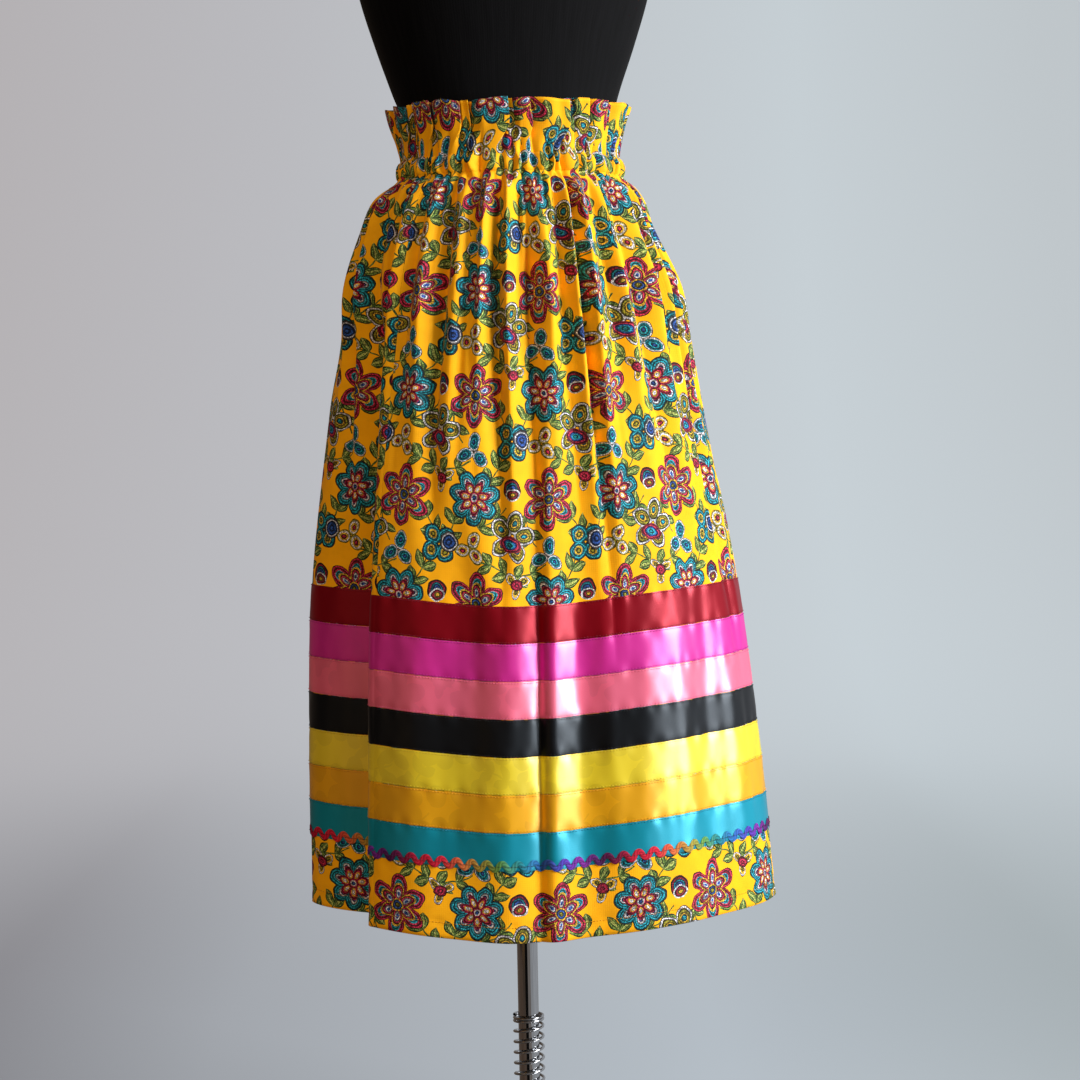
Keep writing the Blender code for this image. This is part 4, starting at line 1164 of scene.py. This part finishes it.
class RIBBONSKIRT_OT_stitches(bpy.types.Operator):
    """Sew the ribbons, the rickrack, the casing and the hem with rows of small stitches"""

    bl_idname = "ribbon_skirt.stitches"
    bl_label = "Stitching"

    def execute(self, context):
        settings = context.scene.ribbon_skirt_cloth
        for side, first in PANELS:
            for k, (colour, code) in enumerate(zip(RIBBONS, THREADS)):
                top = UPPER_LENGTH + RIBBON_WIDTH * k
                rows = (top + RIBBON_SEAM, top + RIBBON_WIDTH - RIBBON_SEAM)
                thread = sewing_thread(colour, code)
                self.sew(f"stitches_{colour}_{side}", first, rows, LAY_GAP + 0.0006, thread)
            hem = (HEM - settings.hem_turn,)
            self.sew(f"stitches_hem_{side}", first, hem, 0.0002, sewing_thread("yellow", "#C98A0A"))
            thread = sewing_thread("dark grey", "#2A2730")
            self.sew(f"stitches_rickrack_{side}", first, (RICKRACK_LINE,), LAY_GAP + 0.0014, thread)
            self.sew_waist(side, first)
        return {"FINISHED"}

    def sew(self, name, first, rows, out, material):
        """Rows of stitches round a panel, at some lengths below the casing and this far out of the cloth."""
        settings = bpy.context.scene.ribbon_skirt_cloth
        pitch = (settings.stitch_length + STITCH_SPACE) / COLUMN_WIDTH
        count = int((PANEL_COLUMNS - 0.4) / pitch)
        left = first + 0.2 + np.arange(count) * pitch
        right = left + settings.stitch_length / COLUMN_WIDTH
        begin, end = np.tile(left, len(rows)), np.tile(right, len(rows))
        along = np.repeat(rows, count)
        normals = cloth_normals((begin + end) / 2, along)
        starts = cloth_points(begin, along) + normals * out
        ends = cloth_points(end, along) + normals * out
        mesh = stitch_mesh(name, starts, ends, normals, settings.thread)
        add_piece(mesh, material, "print_cotton")

    def sew_waist(self, side, first):
        """The two rows that close the casing, which follow its pinches."""
        thickness = bpy.context.scene.ribbon_skirt_cloth.thread
        run = np.arange(first + 0.1, first + PANEL_COLUMNS - 0.1, 0.24)
        heights = np.repeat([CASING_TOP - CASING_SEAM_ROW, CASING_SEAM + CASING_SEAM_ROW], len(run))
        starts, ends = [], []
        for place, points in ((run, starts), (run + 0.18, ends)):
            place = np.tile(place, 2)
            angle = column_angle(place)
            radius = outline_radius(angle, heights) - seam_gather(place) + 0.0009
            points.extend(around(radius, angle, heights))
        starts, ends = np.array(starts), np.array(ends)
        outward = unit(starts * np.array([1, 1, 0]))
        mesh = stitch_mesh(f"stitches_waist_{side}", starts, ends, outward, thickness)
        add_piece(mesh, sewing_thread("bright yellow", "#F2A90A"), "print_cotton")


def form_rings():
    """All of the torso's rings from its underside to its neck."""
    seat = next(row for row in OUTLINES if row.height == CASING_TOP)
    inward = CASING_GATHER + CLOTH_WALL + SEAT_GAP
    width, depth = (seat.left + seat.right) / 2 - inward, (seat.front + seat.back) / 2 - inward
    across, ahead = (seat.right - seat.left) / 2, (seat.front - seat.back) / 2
    waist = table(FORM_RING, *[(height, width, depth, across, ahead) for height in (CASING_SEAM, CASING_TOP)])
    return (*FORM_HIPS, *waist, *FORM_BODICE)


class RIBBONSKIRT_OT_form(bpy.types.Operator):
    """Cover the limbless form in smooth black jersey"""

    bl_idname = "ribbon_skirt.form"
    bl_label = "Dress form"

    def execute(self, context):
        rows = form_rings()[::-1]
        heights = np.linspace(rows[-1].height, rows[0].height, 150)
        heights = np.unique(np.concatenate([heights, [CASING_SEAM, CASING_TOP]]))
        fields = "width", "depth", "across", "ahead"
        width, depth, across, ahead = (table_curve(rows, heights, name)[None, :] for name in fields)
        share = np.arange(128) / 128
        angle = 2 * np.pi * share[:, None]
        radius = superellipse(angle, width, depth)
        points = around(radius, angle, heights[None, :])
        points = points + np.stack(np.broadcast_arrays(across, -ahead, 0 * ahead), axis=-1)
        # Rounded rims and closed ends
        ends = []
        for k, sign in ((0, -1), (-1, 1)):
            centre = np.array([across[0, k], -ahead[0, k], heights[k]])
            ring = points[:, k : k + 1]
            ends.append([centre + (ring - centre) * s for s in (0.985, 0.5, 0.02)])
        points = np.concatenate([*ends[0][::-1], points, *ends[1]], axis=1)[:, ::-1]
        flat = np.stack(np.broadcast_arrays(FORM_GIRTH * share[:, None], points[:1, :, 2]), axis=-1)
        mesh = grid_mesh("form_jersey", points, flat, closed=True)
        add_piece(mesh, form_jersey(), "black_jersey", "form_torso")
        return {"FINISHED"}


class RIBBONSKIRT_OT_stand(bpy.types.Operator):
    """Plate the stand in chrome and wind its coil spring"""

    bl_idname = "ribbon_skirt.stand"
    bl_label = "Stand"

    def execute(self, context):
        chrome = polished_chrome()
        for node in ("stand_pole", "stand_hub", "stand_base", "form_neck_cap"):
            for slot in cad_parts[node].material_slots:
                slot.material = chrome
        settings = context.scene.ribbon_skirt_stand
        wire = settings.spring_wire
        low = HUB_TOP + 0.0004 + wire
        closed = 2 * wire * 1.06
        top = SPRING_TOP - wire - 2 * closed
        turns = (top - low) / settings.spring_pitch
        steps = 28
        count = round((turns + 2) * steps)
        curve = bpy.data.curves.new("spring_wire", "CURVE")
        curve.dimensions = "3D"
        curve.bevel_depth = wire
        curve.bevel_resolution = 3
        curve.use_fill_caps = True
        spline = curve.splines.new("POLY")
        spline.points.add(count)
        for k, point in enumerate(spline.points):
            turn = k / steps
            rise = low + settings.spring_pitch * turn if turn < turns else top + closed * (turn - turns)
            angle = 2 * math.pi * turn
            point.co = (*around(settings.spring_radius, angle, rise), 1)
        add_piece(curve, chrome, "polished_chrome", "stand_spring")
        return {"FINISHED"}


def stage_card(name, place, size, towards, code):
    """A flat studio card that faces a point and shows only in reflections."""
    mesh = bpy.data.meshes.new(name)
    x, y = (s / 2 for s in size)
    mesh.from_pydata([(-x, -y, 0), (x, -y, 0), (x, y, 0), (-x, y, 0)], [], [(0, 1, 2, 3)])
    card = add_object(name, mesh)
    card.location = place
    card.rotation_euler = (Vector(towards) - Vector(place)).to_track_quat("Z", "Y").to_euler()
    material, _, shader = new_material(f"studio card {name}")
    fill_inputs(shader, {"Base Color": linear_colour(code), "Roughness": 0.9})
    mesh.materials.append(material)
    card.visible_camera = False
    card.visible_diffuse = False
    card.visible_shadow = False


class RIBBONSKIRT_OT_studio(bpy.types.Operator):
    """Set the backdrop, the window light and the camera"""

    bl_idname = "ribbon_skirt.studio"
    bl_label = "Studio"

    def execute(self, context):
        settings = context.scene.ribbon_skirt_studio
        self.backdrop(settings)
        self.lights(settings)
        self.camera(settings)
        context.scene.view_settings.view_transform = "Standard"
        return {"FINISHED"}

    def backdrop(self, settings):
        """A round paper backdrop: the floor sweeps up into a wall all round, and the paper glows with painted
        light.
        """
        radius, curve, tall = 6.2, 2.4, 5.0
        profile = [(0.0001, 0.0), (0.6, 0.0), (1.5, 0.0), (2.6, 0.0), (radius - curve, 0.0)]
        for k in range(1, 17):
            turn = math.radians(90 * k / 16)
            profile.append((radius - curve + curve * math.sin(turn), curve * (1 - math.cos(turn))))
        profile.append((radius, tall))
        radii, heights = np.array(profile).T
        angle = (2 * np.pi * np.arange(96) / 96)[:, None]
        points = around(radii[None, :], angle, heights[None, :])
        mesh = grid_mesh("paper_backdrop", points, points[..., :2], closed=True)
        paper = add_object("paper_backdrop", mesh)
        material, tree, shader = new_material("matt backdrop paper")
        place = add_node(tree, "ShaderNodeTexCoord", out=3)
        tooth = add_node(tree, "ShaderNodeTexNoise", {"Vector": place, "Scale": 220.0, "Detail": 2.0})
        bump = add_node(tree, "ShaderNodeBump", {"Strength": 0.05, "Distance": 0.0005, "Height": tooth})
        # Painted light: the paper's colour and glow fall off from the right towards the left like the
        # daylight, with painted shade on the floor near the stand
        x, y, _ = add_node(tree, "ShaderNodeSeparateXYZ", {0: place}).node.outputs
        across = add_node(tree, "ShaderNodeMapRange", {0: x, 1: -4.0, 2: 4.0, 3: 0.0, 4: 1.0})
        away = {0: add_node(tree, MATH, {0: y}, operation="ABSOLUTE"), 1: 0.2, 2: 4.9, 3: 0.0, 4: 1.0}
        away = add_node(tree, "ShaderNodeMapRange", away, interpolation_type="SMOOTHSTEP")
        floor = (
            (0.24, "#B4B2B4"), (0.40, "#858387"), (0.45, "#A0A3A8"),
            (0.53, "#B0B7BD"), (0.60, "#9FA6A8"), (0.76, "#BDC2C4"),
        )
        wall = ((0.28, "#BBB6B7"), (0.40, "#C1C0C3"), (0.62, "#CFD7DB"), (0.72, "#C9CFD2"))
        floor = fill_ramp(add_node(tree, RAMP, {0: across}), floor, banded=False)
        wall = fill_ramp(add_node(tree, RAMP, {0: across}), wall, banded=False)
        painted_daylight = add_node(tree, MIX, {0: away, 6: floor, 7: wall}, out=2, data_type="RGBA")
        painted_daylight = add_node(tree, VECTOR, {0: painted_daylight, 1: settings.wall}, operation="MULTIPLY")
        # Painted light: the paper reflects only a little of the lamps' light and mostly glows in the painted
        # daylight colour
        grey = add_node(tree, VECTOR, {0: painted_daylight, "Scale": 0.3}, operation="SCALE")
        fill_inputs(shader, {"Base Color": grey, "Normal": bump, "Roughness": 0.95})
        fill_inputs(shader, {"Specular IOR Level": 0.1, "Emission Color": painted_daylight, "Emission Strength": 0.88})
        mesh.materials.append(material)
        paper.visible_diffuse = False
        paper.visible_glossy = False

    def lights(self, settings):
        """A large soft window at the right, a weak warm fill, and cards for the gloss to mirror."""
        world = bpy.data.worlds.new("studio room")
        bpy.context.scene.world = world
        world.use_nodes = True
        tree = world.node_tree
        # The room is bright and cool above and at the right, dim and warm at the left and behind the camera
        way = add_node(tree, "ShaderNodeTexCoord", out=0)
        way = add_node(tree, VECTOR, {0: way, 1: (0.78, 0.10, 0.52)}, operation="DOT_PRODUCT", out=1)
        way = add_node(tree, "ShaderNodeMapRange", {0: way, 1: -1.0, 2: 1.0, 3: 0.0, 4: 1.0})
        stops = (0.0, "#6A5444"), (0.45, "#94877C"), (0.7, "#D5D9DE"), (1.0, "#F4F8FF")
        glow = fill_ramp(add_node(tree, RAMP, {0: way}), stops, banded=False)
        fill_inputs(tree.nodes["Background"], {"Color": glow, "Strength": settings.sky})
        fill = settings.window * 0.25
        rows = (
            ("window", (2.5, -1.25, 1.6), (1.4, 2.2), (0.0, 0.0, 0.75), settings.window, "#FBFDFF", True),
            ("room fill", (-1.7, -3.4, 2.0), (2.0, 1.6), (0.0, 0.0, 0.7), fill, "#FFD6A8", False),
        )
        for name, place, size, towards, power, code, mirrored in rows:
            light = bpy.data.lights.new(name, "AREA")
            light.shape = "RECTANGLE"
            light.size, light.size_y = size
            light.energy = power
            light.color = linear_colour(code)[:3]
            lamp = add_object(name, light)
            lamp.location = place
            lamp.rotation_euler = (Vector(towards) - Vector(place)).to_track_quat("-Z", "Y").to_euler()
            lamp.visible_camera = False
            lamp.visible_glossy = mirrored
        stage_card("dark room", (-1.5, -3.6, -0.3), (4.2, 1.2), (-1.5, 0, -0.3), "#0B0A09")
        stage_card("dark flag right", (1.1, -2.4, 0.6), (0.35, 1.6), (0, 0, 0.3), "#050505")
        stage_card("dark flag left", (-2.1, -0.6, 0.6), (0.9, 1.6), (0, 0, 0.3), "#0A0A0A")
        stage_card("tan card", (-1.5, -1.5, 0.5), (0.5, 1.4), (0, 0, 0.3), "#8A6A45")

    def camera(self, settings):
        """The camera stands level with the skirt, turned and tipped a little, with a slight roll."""
        # The pole's axis and the horizon stand here in the picture, in pixels of 1080
        pole_x, horizon_y, side, sensor = 517.9, 465.0, 1080.0, 36.0
        focal = settings.lens / sensor * side
        cos, sin = math.cos(settings.roll), math.sin(settings.roll)
        right, below = side / 2 - pole_x, side / 2 - horizon_y
        ahead = Vector((right * cos - below * sin, focal, -(right * sin + below * cos))).normalized()
        level = ahead.cross(Vector((0, 0, 1))).normalized()
        upright = level.cross(ahead)
        across = level * cos - upright * sin
        up = level * sin + upright * cos
        turn = Matrix((across, up, -ahead)).transposed().to_4x4()
        data = bpy.data.cameras.new("camera")
        data.lens = settings.lens
        data.sensor_width = sensor
        data.clip_end = 60
        camera = add_object("camera", data)
        camera.matrix_world = Matrix.Translation((0, -settings.distance, settings.eye_height)) @ turn
        bpy.context.scene.camera = camera


OPERATORS = (
    RIBBONSKIRT_OT_panels,
    RIBBONSKIRT_OT_waist,
    RIBBONSKIRT_OT_ribbons,
    RIBBONSKIRT_OT_rickrack,
    RIBBONSKIRT_OT_stitches,
    RIBBONSKIRT_OT_form,
    RIBBONSKIRT_OT_stand,
    RIBBONSKIRT_OT_studio,
)


class RIBBONSKIRT_PT_pieces(bpy.types.Panel):
    """Lists the skirt's pieces"""

    bl_idname = "RIBBONSKIRT_PT_pieces"
    bl_label = "Ribbon Skirt"
    bl_space_type = "VIEW_3D"
    bl_region_type = "UI"
    bl_category = "Ribbon Skirt"

    def draw(self, context):
        for operator in OPERATORS:
            self.layout.operator(operator.bl_idname)
        for name, group in SETTINGS.items():
            for setting in group.__annotations__:
                self.layout.prop(getattr(context.scene, name), setting)


def register():
    for item in (*SETTINGS.values(), *OPERATORS, RIBBONSKIRT_PT_pieces):
        bpy.utils.register_class(item)
    for name, group in SETTINGS.items():
        setattr(bpy.types.Scene, name, bpy.props.PointerProperty(type=group))


def unregister():
    for name in SETTINGS:
        delattr(bpy.types.Scene, name)
    for item in (RIBBONSKIRT_PT_pieces, *OPERATORS[::-1], *list(SETTINGS.values())[::-1]):
        bpy.utils.unregister_class(item)


def main():
    register()
    bpy.ops.ribbon_skirt.waist()
    bpy.ops.ribbon_skirt.panels()
    bpy.ops.ribbon_skirt.ribbons()
    bpy.ops.ribbon_skirt.rickrack()
    bpy.ops.ribbon_skirt.stitches()
    bpy.ops.ribbon_skirt.form()
    bpy.ops.ribbon_skirt.stand()
    bpy.ops.ribbon_skirt.studio()
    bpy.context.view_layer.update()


if __name__ == "__main__":
    main()
